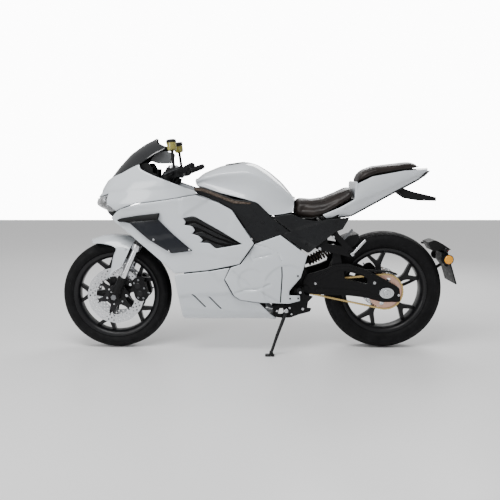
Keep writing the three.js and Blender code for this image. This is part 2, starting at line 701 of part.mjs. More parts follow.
function alongShock(distance) {
  const run = Math.hypot(SHOCK_REAR.x - SHOCK_FRONT.x, SHOCK_REAR.z - SHOCK_FRONT.z);
  const t = distance / run;
  return [SHOCK_FRONT.x + t * (SHOCK_REAR.x - SHOCK_FRONT.x), 0,
    SHOCK_FRONT.z + t * (SHOCK_REAR.z - SHOCK_FRONT.z)];
}

function shockBody() {
  const eye = rodY(SHOCK_FRONT.x, SHOCK_FRONT.z, -14, 14, 16, 16);
  const neck = rod(alongShock(8), alongShock(36), 11, 10);
  const cylinder = rod(alongShock(30), alongShock(112), 19, 14);
  const collar = rod(alongShock(34), alongShock(44), 27, 14);
  const whole = join(eye, neck, cylinder, collar);
  return cut(whole, rodY(SHOCK_FRONT.x, SHOCK_FRONT.z, -30, 30, 7 + FIT, 12),
    rod(alongShock(56), alongShock(120), 8, 10));
}

function shockRod() {
  const shaft = rod(alongShock(82), alongShock(184), 7, 10);
  const collar = rod(alongShock(160), alongShock(170), 25, 14);
  const eye = rodY(SHOCK_REAR.x, SHOCK_REAR.z, -14, 14, 18, 14);
  return cut(join(shaft, collar, eye), rodY(SHOCK_REAR.x, SHOCK_REAR.z, -30, 30, 13, 14));
}

function plateHolder() {
  const plate = prism([[982, 545], [988, 546], [1048, 358], [1042, 355]], -96, 96);
  const hood = prism([[899, 573, 5], [937, 587, 10], [976, 567], [1024, 535, 4], [990, 534], [925, 528, 8]],
    -58, 58);
  const arm = tube([[735, 136, 300], [820, 146, 310], [930, 130, 370], [1018, 84, 440]], 9, 8, 8);
  const foot = rodY(735, 300, 124.5, 136, 16, 12);
  const indicators = mirrored((side) => join(
    rodY(993, 490, side === LEFT ? -124 : 106, side === LEFT ? -106 : 124, 27, 20),
    rodY(1001, 490, side === LEFT ? -108 : 80, side === LEFT ? -80 : 108, 8, 8)));
  return join(plate, hood, arm, foot, indicators);
}

// ---------------------------------------------------------------- feet and stand
function standAxis() {
  return STAND_FOOT.clone().sub(STAND_PIVOT).cross(STAND_FOLDED).normalize();
}

function pegEars(side) {
  const y = side * RIDER_PEG.y;
  const ears = [-1, 1].map((end) => block(RIDER_PEG.x + end * 18 - 3, RIDER_PEG.x + end * 18 + 3,
    Math.min(y - 9, y + 9, side * 133), Math.max(y - 9, y + 9, side * 133),
    RIDER_PEG.z - 10, RIDER_PEG.z + 10));
  return join(...ears, rod([RIDER_PEG.x - 19, y, RIDER_PEG.z], [RIDER_PEG.x + 19, y, RIDER_PEG.z], 3.5, 8));
}

function footBracket(side) {
  const outline = [[77, 250, 8], [169, 253], [188, 300], [188, 348, 10], [238, 352, 10], [240, 310], [288, 298, 6],
    [250, 258, 6], [256, 238], [280, 235, 4], [271, 218, 4], [214, 203], [170, 186, 8], [122, 185, 8],
    [81, 192, 8]];
  const plate = sidePrism(side, outline, 126, 135, [[[112, 236], [150, 238, 5], [128, 206, 5], [104, 206]]]);
  const spacers = [[165, 226], [238, 240]].map(([x, z]) =>
    rodY(x, z, side === LEFT ? -127 : 102.3, side === LEFT ? -102.3 : 127, 9, 10));
  const parts = [plate, ...spacers, pegEars(side)];
  if (side === LEFT) {
    const axis = standAxis();
    const inner = STAND_PIVOT.clone().addScaledVector(axis, -21);
    const outer = STAND_PIVOT.clone().addScaledVector(axis, 12);
    parts.push(rod(inner.toArray(), outer.toArray(), 6, 14));
  }
  return join(...parts);
}

function sideStand() {
  const axis = standAxis();
  const at = (distance) => STAND_PIVOT.clone().addScaledVector(axis, distance).toArray();
  const boss = rod(at(-7.5), at(9), 14, 14);
  const knee = [101, -174, 106];
  const ankle = [STAND_FOOT.x + 8, STAND_FOOT.y + 2, 16];
  const leg = join(rod(STAND_PIVOT.toArray(), knee, 10, 10, 8), rod(knee, ankle, 8, 10));
  const tang = rod([knee[0], knee[1] + 2, knee[2]], [knee[0] - 4, knee[1] - 30, knee[2] + 4], 5, 6);
  const foot = block(STAND_FOOT.x - 26, STAND_FOOT.x + 26, STAND_FOOT.y - 19, STAND_FOOT.y + 19, 0, 8);
  const heel = rod([ankle[0], ankle[1], 6], [ankle[0], ankle[1], 26], 12, 10, 8);
  return cut(join(boss, leg, tang, foot, heel), rod(at(-20), at(20), 6 + FIT, 14));
}

function riderPeg(side) {
  const y = (distance) => side * (RIDER_PEG.y + distance);
  const tread = rod([RIDER_PEG.x, y(7), RIDER_PEG.z], [RIDER_PEG.x, y(80), RIDER_PEG.z], 13, 12);
  const tongue = block(RIDER_PEG.x - 13, RIDER_PEG.x + 13, Math.min(y(-7), y(9)), Math.max(y(-7), y(9)),
    RIDER_PEG.z - 7, RIDER_PEG.z + 7);
  return cut(join(tread, tongue),
    rod([RIDER_PEG.x - 30, y(0), RIDER_PEG.z], [RIDER_PEG.x + 30, y(0), RIDER_PEG.z], 3.5 + FIT, 8));
}

function pillionPeg(side) {
  const up = new THREE.Vector3(Math.cos(PILLION_PEG_RISE), 0, Math.sin(PILLION_PEG_RISE));
  const along = new THREE.Vector3(Math.sin(PILLION_PEG_RISE), 0, -Math.cos(PILLION_PEG_RISE));
  const at = (rise, across) => new THREE.Vector3(PILLION_PEG.x, side * PILLION_PEG.y, PILLION_PEG.z)
    .addScaledVector(up, rise).addScaledVector(along, across).toArray();
  const hub = rod(at(0, -9), at(0, 9), 8, 12);
  const bar = rod(at(0, 0), at(100, 0), 8, 10, 7);
  return cut(join(hub, bar), rod(at(0, -20), at(0, 20), 3 + FIT, 8));
}

// ---------------------------------------------------------------- handlebars
// Each bar's own frame: X outwards along the bar, Z up, Y completes it.
function barFrame(side) {
  const outward = new THREE.Vector3(137, side * 209, 59).normalize();
  const sideways = new THREE.Vector3(0, 0, 1).cross(outward).normalize();
  const up = outward.clone().cross(sideways);
  const group = new THREE.Group();
  group.quaternion.setFromRotationMatrix(new THREE.Matrix4().makeBasis(outward, sideways, up));
  group.position.set(-455, side * 126, 916);
  group.updateMatrix();
  return group;
}

function toBar(side, solid) {
  const geometry = geometryOf(solid);
  geometry.applyMatrix4(barFrame(side).matrix.clone().invert());
  return solidOf(geometry);
}

function handlebar(side) {
  const aroundLeg = (low, high, radius, sides) =>
    toBar(side, fromForkFrame(rod([0, side * LEG_Y, low], [0, side * LEG_Y, high], radius, sides)));
  const clamp = aroundLeg(676, 704, 33, 14);
  const bar = rod([-2, 0, 0], [252, 0, 0], 11, 12);
  const weight = rod([244, 0, 0], [262, 0, 0], 15, 12);
  const pod = cut(block(84, 118, -15, 15, -16, 17), rod([101, 0, 9], [101, 0, 30], 7, 12));
  const parts = [clamp, bar, weight, pod];
  if (side === LEFT) {
    parts.push(rod([122, 0, 0], [240, 0, 0], 16, 12));
  }
  return cut(join(...parts), aroundLeg(600, 800, OUTER_TUBE_RADIUS + FIT, 16));
}

function throttleGrip() {
  return cut(rod([122, 0, 0], [240, 0, 0], 16, 14), rod([110, 0, 0], [250, 0, 0], 11 + FIT, 14));
}

function masterCylinder(forward) {
  const clamp = rod([54, 0, 0], [78, 0, 0], 17, 10);
  const body = rod([38, forward * 30, 4], [92, forward * 30, 4], 10, 10);
  const bridge = block(56, 76, Math.min(0, forward * 32), Math.max(0, forward * 32), -6, 10);
  const yoke = block(52, 74, Math.min(forward * 30, forward * 58), Math.max(forward * 30, forward * 58), 10, 15);
  const pin = rod([62, forward * 50, -6], [62, forward * 50, 12], 3.5, 10);
  const stalk = rod([72, forward * 2, 10], [72, forward * 2, 132], 5, 8);
  const cup = rod([72, forward * 2, 126], [72, forward * 2, 176], 25, 14);
  return cut(join(clamp, body, bridge, yoke, pin, stalk, cup), rod([30, 0, 0], [100, 0, 0], 11 + FIT, 12));
}

function brakeLever(forward) {
  const hub = rod([62, forward * 50, -5], [62, forward * 50, 9], 10, 12);
  const blade = tube([[62, forward * 50, 2], [90, forward * 62, 2], [150, forward * 60, 0],
    [226, forward * 52, -2]], 6, 6, 6);
  return cut(join(hub, blade), rod([62, forward * 50, -20], [62, forward * 50, 20], 3.5 + FIT, 10));
}

function podButton() {
  return rod([101, 0, 14.5], [101, 0, 23], 6, 12);
}

// ---------------------------------------------------------------- put together
add("main_frame", mainFrame(), SATIN);
add("battery_pack", batteryPack(), BLACK);
add("motor", motor(), STEEL);
add("nose_cowl", noseCowl(), WHITE);
add("headlight", headlight(), LAMP);
add("windscreen", windscreen(), SMOKED);
add("belly_pan", bellyPan(), WHITE);
add("tank_cover", tankCover(), WHITE);
add("rider_seat", riderSeat(), LEATHER);
add("pillion_seat", pillionSeat(), LEATHER);
add("tail_cowl", tailCowl(), WHITE);
for (const side of [LEFT, RIGHT]) {
  add(sideName("side_fairing", side), sideFairing(side), WHITE);
  add(sideName("winglet", side), winglet(side), BLACK);
  add(sideName("battery_cover", side), batteryCover(side), WHITE);
  add(sideName("frame_cover", side), frameCover(side), SATIN);
  add(`${side === LEFT ? "left" : "right"}_foot_bracket`, footBracket(side), BLACK);
  add(sideName("rider_peg", side), riderPeg(side), BLACK);
  add(sideName("pillion_peg", side), pillionPeg(side), SILVER);
}
add("side_stand", sideStand(), BLACK);

const fork = forkFrame();
motorcycle.add(fork);
add("triple_clamp", tripleClamp(), SATIN, fork);
for (const side of [LEFT, RIGHT]) {
  add(sideName("fork_tube", side), forkTube(side), SATIN, fork);
  add(sideName("fork_lower", side), forkLower(side), BLACK, fork);
  const bar = barFrame(side);
  const forward = side;
  motorcycle.add(bar);
  add(sideName("handlebar", side), handlebar(side), BLACK, bar);
  add(sideName("master_cylinder", side), masterCylinder(forward), AMBER, bar);
  add(sideName("brake_lever", side), brakeLever(forward), STEEL, bar);
  if (side === RIGHT) {
    add("throttle_grip", throttleGrip(), RUBBER, bar);
    add("kill_switch", podButton(), RED, bar);
  } else {
    add("horn_button", podButton(), BLACK, bar);
  }
}

add("front_axle", rodY(FRONT_AXLE.x, FRONT_AXLE.z, -128, 128, 10, 16), STEEL);
add("front_fender", frontFender(), WHITE);
for (const side of [LEFT, RIGHT]) {
  const centre = { x: -626, z: 327 };
  const slot = discSlot(side, FRONT_AXLE, 150, 56, 65);
  add(sideName("front_caliper", side), caliper(side, centre, THREE.MathUtils.degToRad(75), 42, 90, slot), BLACK);
  add(sideName("front_disc", side), brakeDisc(side, FRONT_AXLE, 150, 104, 58, 63, 20), SILVER);
}
add("front_rim", rim(FRONT_AXLE, 47, -57.5, 57.5, 10 + FIT, THREE.MathUtils.degToRad(-37)), BLACK);
add("front_tyre", tyre(FRONT_AXLE, FRONT_TYRE, 47), RUBBER);

add("swingarm", swingarm(), BLACK);
add("rear_axle", rodY(REAR_AXLE.x, REAR_AXLE.z, -134, 134, 12, 16), STEEL);
add("rear_rim", rim(REAR_AXLE, 58, -76, 78, 12 + FIT, THREE.MathUtils.degToRad(29)), BLACK);
add("rear_tyre", tyre(REAR_AXLE, REAR_TYRE, 58), RUBBER);
add("rear_sprocket", sprocket(REAR_AXLE, 86, CHAIN_Y - 3, CHAIN_Y + 3, 14, 32), COPPER);
add("drive_sprocket", rodY(PIVOT.x, PIVOT.z, CHAIN_Y - 5, -64.5, DRIVE_PITCH_RADIUS - 7, 18), STEEL);
add("rear_disc", brakeDisc(RIGHT, REAR_AXLE, 110, 78, 79, 84, 20), SILVER);
add("rear_caliper", caliper(RIGHT, { x: 595, z: 388 }, THREE.MathUtils.degToRad(-47), 71, 94,
  discSlot(RIGHT, REAR_AXLE, 110, 77, 86)), BLACK);
add("chain", chain(), GOLD);
add("shock_body", shockBody(), BLACK);
add("shock_rod", shockRod(), STEEL);
add("plate_holder", plateHolder(), BLACK);

export default motorcycle;
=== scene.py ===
"""Electric sport motorcycle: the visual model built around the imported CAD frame. Metres, Blender 4.5."""
import json
import math

import bmesh
import bpy
import numpy as np
from mathutils import Matrix, Vector, geometry
from mathutils.bvhtree import BVHTree


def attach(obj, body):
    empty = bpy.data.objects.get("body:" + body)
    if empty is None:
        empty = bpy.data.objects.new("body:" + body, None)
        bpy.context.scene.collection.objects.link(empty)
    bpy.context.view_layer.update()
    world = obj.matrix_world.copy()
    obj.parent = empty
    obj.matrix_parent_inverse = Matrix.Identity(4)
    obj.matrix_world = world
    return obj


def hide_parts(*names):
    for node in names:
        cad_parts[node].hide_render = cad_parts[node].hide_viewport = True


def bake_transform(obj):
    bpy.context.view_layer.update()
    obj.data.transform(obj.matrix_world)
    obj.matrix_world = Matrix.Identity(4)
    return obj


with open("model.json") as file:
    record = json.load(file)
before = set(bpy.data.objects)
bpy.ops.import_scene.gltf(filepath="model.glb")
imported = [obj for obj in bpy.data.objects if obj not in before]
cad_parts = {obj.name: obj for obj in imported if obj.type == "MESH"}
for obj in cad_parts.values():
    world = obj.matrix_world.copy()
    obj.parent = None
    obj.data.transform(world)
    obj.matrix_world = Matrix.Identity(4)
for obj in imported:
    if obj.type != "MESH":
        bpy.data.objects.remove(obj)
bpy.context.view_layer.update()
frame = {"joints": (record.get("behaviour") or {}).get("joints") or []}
JOINTS = {joint["name"]: joint for joint in frame["joints"]}
LEFT, RIGHT = -1, 1
SIDES = ((LEFT, "left"), (RIGHT, "right"))

FRONT_AXLE = Vector(JOINTS["front_wheel_spin"]["pos_m"])
REAR_AXLE = Vector(JOINTS["rear_wheel_spin"]["pos_m"])
PIVOT = Vector(JOINTS["swing"]["pos_m"])
FORK_UP = Vector(JOINTS["fork_travel"]["axis"]).normalized()
FORK_BACK = Vector((FORK_UP.z, 0, -FORK_UP.x))
LEG_Y = 0.100
TEETH_REAR, TEETH_DRIVE, CHAIN_PITCH = 46, 14, 0.0127
SKY_LIGHT, SKY_SEEN = 0.62, 12.0
# turns an outline drawn in x and z to lie in x and y
LYING = Matrix(((1, 0, 0, 0), (0, 0, 1, 0), (0, 1, 0, 0), (0, 0, 0, 1)))
RAKE = math.radians(25)
CAMERA_LENS, CAMERA_SENSOR = 45.8, 36
CAMERA_PLACE, CAMERA_DOWN = (-0.042, -3.4, 0.95), 7.1


# ------------------------------------------------------------------ camera, light, floor
def make_camera():
    data = bpy.data.cameras.new("camera")
    data.lens, data.sensor_width = CAMERA_LENS, CAMERA_SENSOR
    camera = bpy.data.objects.new("camera", data)
    bpy.context.scene.collection.objects.link(camera)
    camera.location = CAMERA_PLACE
    camera.rotation_euler = (math.radians(90 - CAMERA_DOWN), 0, 0)
    bpy.context.scene.camera = camera


def area_light(name, place, target, size, power):
    data = bpy.data.lights.new(name, "AREA")
    data.shape = "RECTANGLE"
    data.size, data.size_y = size
    data.energy = power
    light = bpy.data.objects.new(name, data)
    bpy.context.scene.collection.objects.link(light)
    light.location = place
    light.rotation_euler = (Vector(target) - Vector(place)).to_track_quat("-Z", "Y").to_euler()


def make_studio():
    world = bpy.data.worlds.new("studio")
    world.use_nodes = True
    tree = world.node_tree
    sky = tree.nodes["Background"]
    sky.inputs["Color"].default_value = (1, 1, 1, 1)
    seen = tree.nodes.new("ShaderNodeLightPath").outputs["Is Camera Ray"]
    strength = tree.nodes.new("ShaderNodeMapRange")
    strength.inputs["To Min"].default_value = SKY_LIGHT
    strength.inputs["To Max"].default_value = SKY_SEEN
    tree.links.new(seen, strength.inputs["Value"])
    tree.links.new(strength.outputs["Result"], sky.inputs["Strength"])
    bpy.context.scene.world = world
    area_light("key", (-0.8, -1.6, 3.2), (0, 0, 0.5), (2.8, 1.2), 110)
    area_light("side", (-2.6, -2.6, 1.6), (0, 0, 0.6), (1.2, 1.8), 40)
    area_light("back", (1.2, 2.2, 2.4), (0, 0, 0.6), (2.4, 1.2), 60)
    mesh = bpy.data.meshes.new("floor")
    reach = 9.0
    corners = [(-reach, -reach, 0), (reach, -reach, 0), (reach, reach, 0), (-reach, reach, 0)]
    mesh.from_pydata(corners, [], [(0, 1, 2, 3)])
    floor = bpy.data.objects.new("floor", mesh)
    bpy.context.scene.collection.objects.link(floor)
    floor.location.z = -0.0005
    floor.data.materials.append(floor_material())


# ------------------------------------------------------------------ materials
class Nodes:
    """A material's node tree, with short calls for the nodes that the materials share."""

    def __init__(self, name):
        self.material = bpy.data.materials.new(name)
        self.material.use_nodes = True
        self.tree = self.material.node_tree
        self.shader = self.tree.nodes["Principled BSDF"]
        self.place = self.tree.nodes.new("ShaderNodeTexCoord").outputs["Object"]

    def link(self, output, target):
        self.tree.links.new(output, target)

    def set(self, **values):
        for key, value in values.items():
            self.shader.inputs[key.replace("_", " ")].default_value = value

    def noise(self, scale, detail=3.0, stretch=(1, 1, 1)):
        mapping = self.tree.nodes.new("ShaderNodeMapping")
        mapping.inputs["Scale"].default_value = stretch
        self.link(self.place, mapping.inputs["Vector"])
        node = self.tree.nodes.new("ShaderNodeTexNoise")
        node.inputs["Scale"].default_value = scale
        node.inputs["Detail"].default_value = detail
        self.link(mapping.outputs["Vector"], node.inputs["Vector"])
        return node.outputs["Fac"]

    def cells(self, scale, feature="F1"):
        node = self.tree.nodes.new("ShaderNodeTexVoronoi")
        node.feature = feature
        node.inputs["Scale"].default_value = scale
        self.link(self.place, node.inputs["Vector"])
        return node.outputs["Distance"]

    def spread(self, value, low, high, start=0.3, stop=0.7):
        node = self.tree.nodes.new("ShaderNodeMapRange")
        node.inputs["From Min"].default_value = start
        node.inputs["From Max"].default_value = stop
        node.inputs["To Min"].default_value = low
        node.inputs["To Max"].default_value = high
        self.link(value, node.inputs["Value"])
        return node.outputs["Result"]

    def mix(self, factor, first, second):
        node = self.tree.nodes.new("ShaderNodeMix")
        node.data_type = "RGBA"
        self.link(factor, node.inputs["Factor"])
        node.inputs["A"].default_value = (*first, 1)
        node.inputs["B"].default_value = (*second, 1)
        self.link(node.outputs["Result"], self.shader.inputs["Base Color"])
        return node

    def bump(self, height, strength, distance):
        node = self.tree.nodes.new("ShaderNodeBump")
        node.inputs["Strength"].default_value = strength
        node.inputs["Distance"].default_value = distance
        self.link(height, node.inputs["Height"])
        previous = self.shader.inputs["Normal"].links
        if previous:
            self.link(previous[0].from_socket, node.inputs["Normal"])
        self.link(node.outputs["Normal"], self.shader.inputs["Normal"])


def finish(name, color, rough, metallic=0.0, vary=0.1, grain=900, depth=0.0002, strength=0.25, coat=0.0,
           stretch=(1, 1, 1), specular=0.5):
    """A painted, moulded or metal surface: slight colour patches, uneven gloss and a fine grain."""
    nodes = Nodes(name)
    nodes.set(Metallic=metallic, Coat_Weight=coat, Coat_Roughness=0.06, Specular_IOR_Level=specular)
    darker = [channel * (1 - vary) for channel in color]
    lighter = [min(1, channel * (1 + vary)) for channel in color]
    nodes.mix(nodes.spread(nodes.noise(7), 0, 1), darker, lighter)
    nodes.link(nodes.spread(nodes.noise(60, 4), rough * 0.8, rough * 1.25), nodes.shader.inputs["Roughness"])
    nodes.bump(nodes.noise(grain, 2, stretch), strength, depth)
    return nodes.material


def leather(name):
    nodes = Nodes(name)
    nodes.set(Specular_IOR_Level=0.22, Coat_Weight=0.02, Coat_Roughness=0.4)
    nodes.mix(nodes.spread(nodes.noise(14, 5), 0, 1), (0.009, 0.007, 0.0065), (0.020, 0.015, 0.013))
    nodes.link(nodes.spread(nodes.noise(30, 4), 0.30, 0.46), nodes.shader.inputs["Roughness"])
    nodes.bump(nodes.cells(620), 0.35, 0.0004)
    nodes.bump(nodes.noise(90, 5), 0.2, 0.0008)
    return nodes.material


def rubber(name, color=(0.003, 0.003, 0.0033)):
    nodes = Nodes(name)
    nodes.set(Specular_IOR_Level=0.12)
    nodes.mix(nodes.spread(nodes.noise(22, 5), 0, 1), color, [c * 2.2 for c in color])
    nodes.link(nodes.spread(nodes.noise(50, 4), 0.55, 0.75), nodes.shader.inputs["Roughness"])
    nodes.bump(nodes.noise(1400, 2), 0.3, 0.0002)
    return nodes.material


def smoked(name, color, alpha, rough=0.05):
    nodes = Nodes(name)
    nodes.set(Transmission_Weight=alpha, IOR=1.45, Roughness=rough, Coat_Weight=0.5)
    nodes.mix(nodes.spread(nodes.noise(5), 0, 1), color, [min(1, c * 1.3) for c in color])
    nodes.bump(nodes.noise(30), 0.05, 0.0003)
    return nodes.material


def ribbed_lens(name, color, transmission):
    nodes = Nodes(name)
    nodes.set(Transmission_Weight=transmission, IOR=1.49, Roughness=0.12)
    nodes.mix(nodes.spread(nodes.noise(20), 0, 1), color, [min(1, c * 1.15) for c in color])
    nodes.bump(nodes.cells(160), 0.6, 0.0008)
    return nodes.material


def floor_material():
    """Pale floor: light grey under the machine, white further back."""
    nodes = Nodes("floor_paint")
    split = nodes.tree.nodes.new("ShaderNodeSeparateXYZ")
    nodes.link(nodes.place, split.inputs["Vector"])
    far = nodes.spread(split.outputs["Y"], 0, 1, 0.4, 3.0)
    nodes.mix(far, (0.80, 0.80, 0.80), (1, 1, 1))
    nodes.link(nodes.spread(nodes.noise(3), 0.32, 0.4), nodes.shader.inputs["Roughness"])
    return nodes.material


WHITE = finish("white_paint", (0.55, 0.58, 0.61), 0.16, vary=0.015, grain=260, depth=0.0001, strength=0.06,
               coat=0.6)
SATIN = finish("satin_black", (0.006, 0.0065, 0.0075), 0.32, grain=1500, depth=0.00015, strength=0.2,
               specular=0.3)
GRAINED = finish("grained_black", (0.005, 0.0053, 0.0057), 0.5, grain=1100, depth=0.0003, strength=0.5,
                 specular=0.2)
BLACK_METAL = finish("black_metal", (0.005, 0.005, 0.006), 0.34, vary=0.2, grain=500, depth=0.0002,
                     strength=0.3,
                     specular=0.28)
CAST = finish("cast_black", (0.005, 0.005, 0.0055), 0.48, vary=0.2, grain=420, depth=0.0004, strength=0.5,
              specular=0.14)
SILVER = finish("silver_metal", (0.62, 0.63, 0.65), 0.26, metallic=0.95, vary=0.06, grain=300,
                depth=0.0001, strength=0.2, stretch=(1, 6, 1))
CHROME = finish("bright_steel", (0.75, 0.76, 0.78), 0.12, metallic=1.0, vary=0.04, grain=200,
                depth=0.00005, strength=0.1)
STEEL = finish("machined_steel", (0.20, 0.205, 0.215), 0.34, metallic=0.95, vary=0.12, grain=700,
               depth=0.0001, strength=0.3)
GOLD = finish("chain_gold", (0.62, 0.45, 0.19), 0.3, metallic=0.95, vary=0.18, grain=500,
              depth=0.0001, strength=0.25)
COPPER = finish("sprocket_copper", (0.68, 0.42, 0.33), 0.34, metallic=0.85, vary=0.12, grain=400,
                depth=0.0001, strength=0.25)
# dark brown: the shock spring's own bronze colour; on the spar strips the same brown is painted sheen,
# standing for the brownish sheen of the dark satin cover
SPRING_BRONZE_AND_PAINTED_SHEEN = finish("spring_bronze_and_painted_sheen", (0.045, 0.030, 0.020), 0.4, metallic=0.4, vary=0.15)
WINGLET = finish("winglet_black", (0.005, 0.0065, 0.010), 0.2, coat=0.15, specular=0.3)
DASH = finish("dash_grey", (0.11, 0.115, 0.12), 0.32, vary=0.06, grain=900, strength=0.2)
RED = finish("red_plastic", (0.55, 0.02, 0.02), 0.3, vary=0.1)
LEATHER = leather("seat_leather")
RUBBER = rubber("tyre_rubber")
GRIP_RUBBER = rubber("grip_rubber", (0.004, 0.004, 0.0045))
SCREEN = smoked("smoked_screen", (0.012, 0.013, 0.015), 0.35)
LENS = smoked("clear_lens", (0.9, 0.92, 0.95), 0.95, 0.02)
AMBER = ribbed_lens("amber_lens", (1.0, 0.40, 0.02), 0.25)
RED_LENS = ribbed_lens("red_lens", (0.30, 0.01, 0.01), 0.2)
FLUID = smoked("fluid_cup", (0.26, 0.23, 0.05), 0.40, 0.2)
GLASS_BLACK = finish("black_glass", (0.008, 0.008, 0.010), 0.08, vary=0.1, coat=0.8)


# ------------------------------------------------------------------ mesh tools
def piece(name, verts, faces, material, body, slot, replaces=(), sharp=32, bevel=0.0, segments=2):
    """One named object from vertices and faces, riding on a body."""
    mesh = bpy.data.meshes.new(name)
    mesh.from_pydata([tuple(v) for v in verts], [], [tuple(f) for f in faces])
    work = bmesh.new()
    work.from_mesh(mesh)
    bmesh.ops.remove_doubles(work, verts=work.verts, dist=1e-6)
    bmesh.ops.recalc_face_normals(work, faces=work.faces)
    work.to_mesh(mesh)
    work.free()
    mesh.polygons.foreach_set("use_smooth", [True] * len(mesh.polygons))
    mesh.set_sharp_from_angle(angle=math.radians(sharp))
    obj = bpy.data.objects.new(name, mesh)
    bpy.context.scene.collection.objects.link(obj)
    mesh.materials.append(material)
    if bevel:
        modifier = obj.modifiers.new("round", "BEVEL")
        modifier.width = bevel
        modifier.segments = segments
        modifier.limit_method = "ANGLE"
        modifier.angle_limit = math.radians(sharp)
        modifier.harden_normals = True
    if body:
        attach(obj, body)
    if replaces:
        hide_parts(*([replaces] if isinstance(replaces, str) else replaces))
    return obj


class Shape:
    """Vertices and faces gathered from several simple forms, to become one piece."""

    def __init__(self):
        self.verts = []
        self.faces = []

    def add(self, verts, faces):
        start = len(self.verts)
        self.verts.extend(Vector(v) for v in verts)
        self.faces.extend([start + i for i in face] for face in faces)
        return self

    def lathe(self, profile, centre, axis, segments=48):
        """A closed profile of (radius, height along the axis), turned about the axis."""
        axis = Vector(axis).normalized()
        first = axis.orthogonal().normalized()
        second = axis.cross(first)
        centre = Vector(centre)
        rows = len(profile)
        verts = []
        for i in range(segments):
            angle = 2 * math.pi * i / segments
            out = first * math.cos(angle) + second * math.sin(angle)
            verts.extend(centre + out * r + axis * h for r, h in profile)
        faces = []
        for i in range(segments):
            a = i * rows
            b = ((i + 1) % segments) * rows
            for j in range(rows):
                k = (j + 1) % rows
                if profile[j][0] > 1e-7 or profile[k][0] > 1e-7:
                    faces.append([a + j, b + j, b + k, a + k])
        return self.add(verts, faces)

    def disc(self, centre, axis, radius, low, high, bore=0.0, edge=0.0008, segments=40):
        """A turned disc or bush with broken edges, from low to high along the axis."""
        e = min(edge, radius * 0.3, (high - low) * 0.3)
        profile = [(bore, low), (radius - e, low), (radius, low + e), (radius, high - e), (radius - e, high),
                   (bore, high)]
        return self.lathe(profile, centre, axis, segments)

    def rod(self, start, end, radius, end_radius=None, segments=20, edge=0.001):
        start, end = Vector(start), Vector(end)
        length = (end - start).length
        tip = radius if end_radius is None else end_radius
        e = min(edge, length * 0.3)
        profile = [(0, 0), (radius - e, 0), (radius, e), (tip, length - e), (tip - e, length), (0, length)]
        return self.lathe(profile, start, end - start, segments)

    def tube(self, points, radius, segments=12, steps=8, flat=1.0):
        """A smooth swept tube; radius may be one number or one for each point."""
        path, sizes = smooth_path(points, radius, steps)
        tangents = np.gradient(path, axis=0)
        tangents /= np.linalg.norm(tangents, axis=1)[:, None]
        side = np.array(Vector(tangents[0]).orthogonal().normalized())
        verts = []
        for at, tangent, size in zip(path, tangents, sizes):
            side = side - tangent * side.dot(tangent)
            side /= np.linalg.norm(side)
            up = np.cross(tangent, side)
            for k in range(segments):
                angle = 2 * math.pi * k / segments
                verts.append(at + size * (side * math.cos(angle) + up * math.sin(angle) * flat))
        rings = len(path)
        faces = [list(range(segments)), [(rings - 1) * segments + k for k in range(segments)][::-1]]
        for i in range(rings - 1):
            for k in range(segments):
                a = i * segments + k
                b = i * segments + (k + 1) % segments
                faces.append([a, b, b + segments, a + segments])
        return self.add(verts, faces)

    def prism(self, outline, low, high, holes=(), to=None):
        """A plate with this outline in X and Z, from y = low to y = high; to maps its points."""
        points, triangles, loops = fill(outline, holes)
        count = len(points)
        verts = [Vector((x, low, z)) for x, z in points] + [Vector((x, high, z)) for x, z in points]
        faces = [list(t) for t in triangles] + [[count + i for i in t][::-1] for t in triangles]
        for loop in loops:
            for a, b in zip(loop, loop[1:] + loop[:1]):
                faces.append([a, b, b + count, a + count])
        if to is not None:
            verts = [to @ v for v in verts]
        return self.add(verts, faces)

    def block(self, low, high, to=None):
        (x0, y0, z0), (x1, y1, z1) = low, high
        return self.prism([(x0, z0), (x1, z0), (x1, z1), (x0, z1)], y0, y1, to=to)

    def screw(self, place, direction, radius, height=0.004):
        """A button-head screw with a hexagon socket."""
        direction = Vector(direction).normalized()
        r, h = radius, height
        self.lathe([(0, 0), (r, 0), (r, h * 0.45), (r * 0.85, h * 0.85), (r * 0.55, h), (r * 0.45, h * 0.97),
                    (r * 0.42, h * 0.4), (0, h * 0.35)], place, direction, 18)
        return self

    def to_piece(self, name, material, body, slot, replaces=(), **options):
        return piece(name, self.verts, self.faces, material, body, slot, replaces, **options)


def smooth_path(points, radius, steps):
    """Catmull-Rom points between the given ones, with their radii."""
    given = np.array([tuple(p) for p in points], float)
    sizes = np.full(len(given), radius, float) if np.isscalar(radius) else np.array(radius, float)
    ends = np.vstack([2 * given[0] - given[1], given, 2 * given[-1] - given[-2]])
    path, out = [], []
    for i in range(len(given) - 1):
        p0, p1, p2, p3 = ends[i:i + 4]
        for t in np.linspace(0, 1, steps, endpoint=False):
            path.append(0.5 * (2 * p1 + (p2 - p0) * t + (2 * p0 - 5 * p1 + 4 * p2 - p3) * t * t
                               + (3 * p1 - p0 - 3 * p2 + p3) * t ** 3))
            out.append(sizes[i] + (sizes[i + 1] - sizes[i]) * t)
    path.append(given[-1])
    out.append(sizes[-1])
    return np.array(path), np.array(out)


def rounded(outline, radius=0.0, steps=5):
    """The outline with each corner turned into an arc; a point may name its own radius third."""
    corners = [(np.array(p[:2], float), p[2] if len(p) > 2 else radius) for p in outline]
    points = []
    for i, (at, r) in enumerate(corners):
        before = corners[i - 1][0] - at
        after = corners[(i + 1) % len(corners)][0] - at
        r = min(r, 0.45 * np.linalg.norm(before), 0.45 * np.linalg.norm(after))
        if r <= 1e-5:
            points.append(at)
            continue
        entry = at + before / np.linalg.norm(before) * r
        leave = at + after / np.linalg.norm(after) * r
        for t in np.linspace(0, 1, steps + 1):
            points.append((1 - t) ** 2 * entry + 2 * t * (1 - t) * at + t * t * leave)
    return points


def divided(points, spacing):
    """The closed outline with no stretch longer than the spacing."""
    out = []
    for a, b in zip(points, points[1:] + points[:1]):
        count = max(1, math.ceil(np.linalg.norm(b - a) / spacing))
        out.extend(a + (b - a) * i / count for i in range(count))
    return out


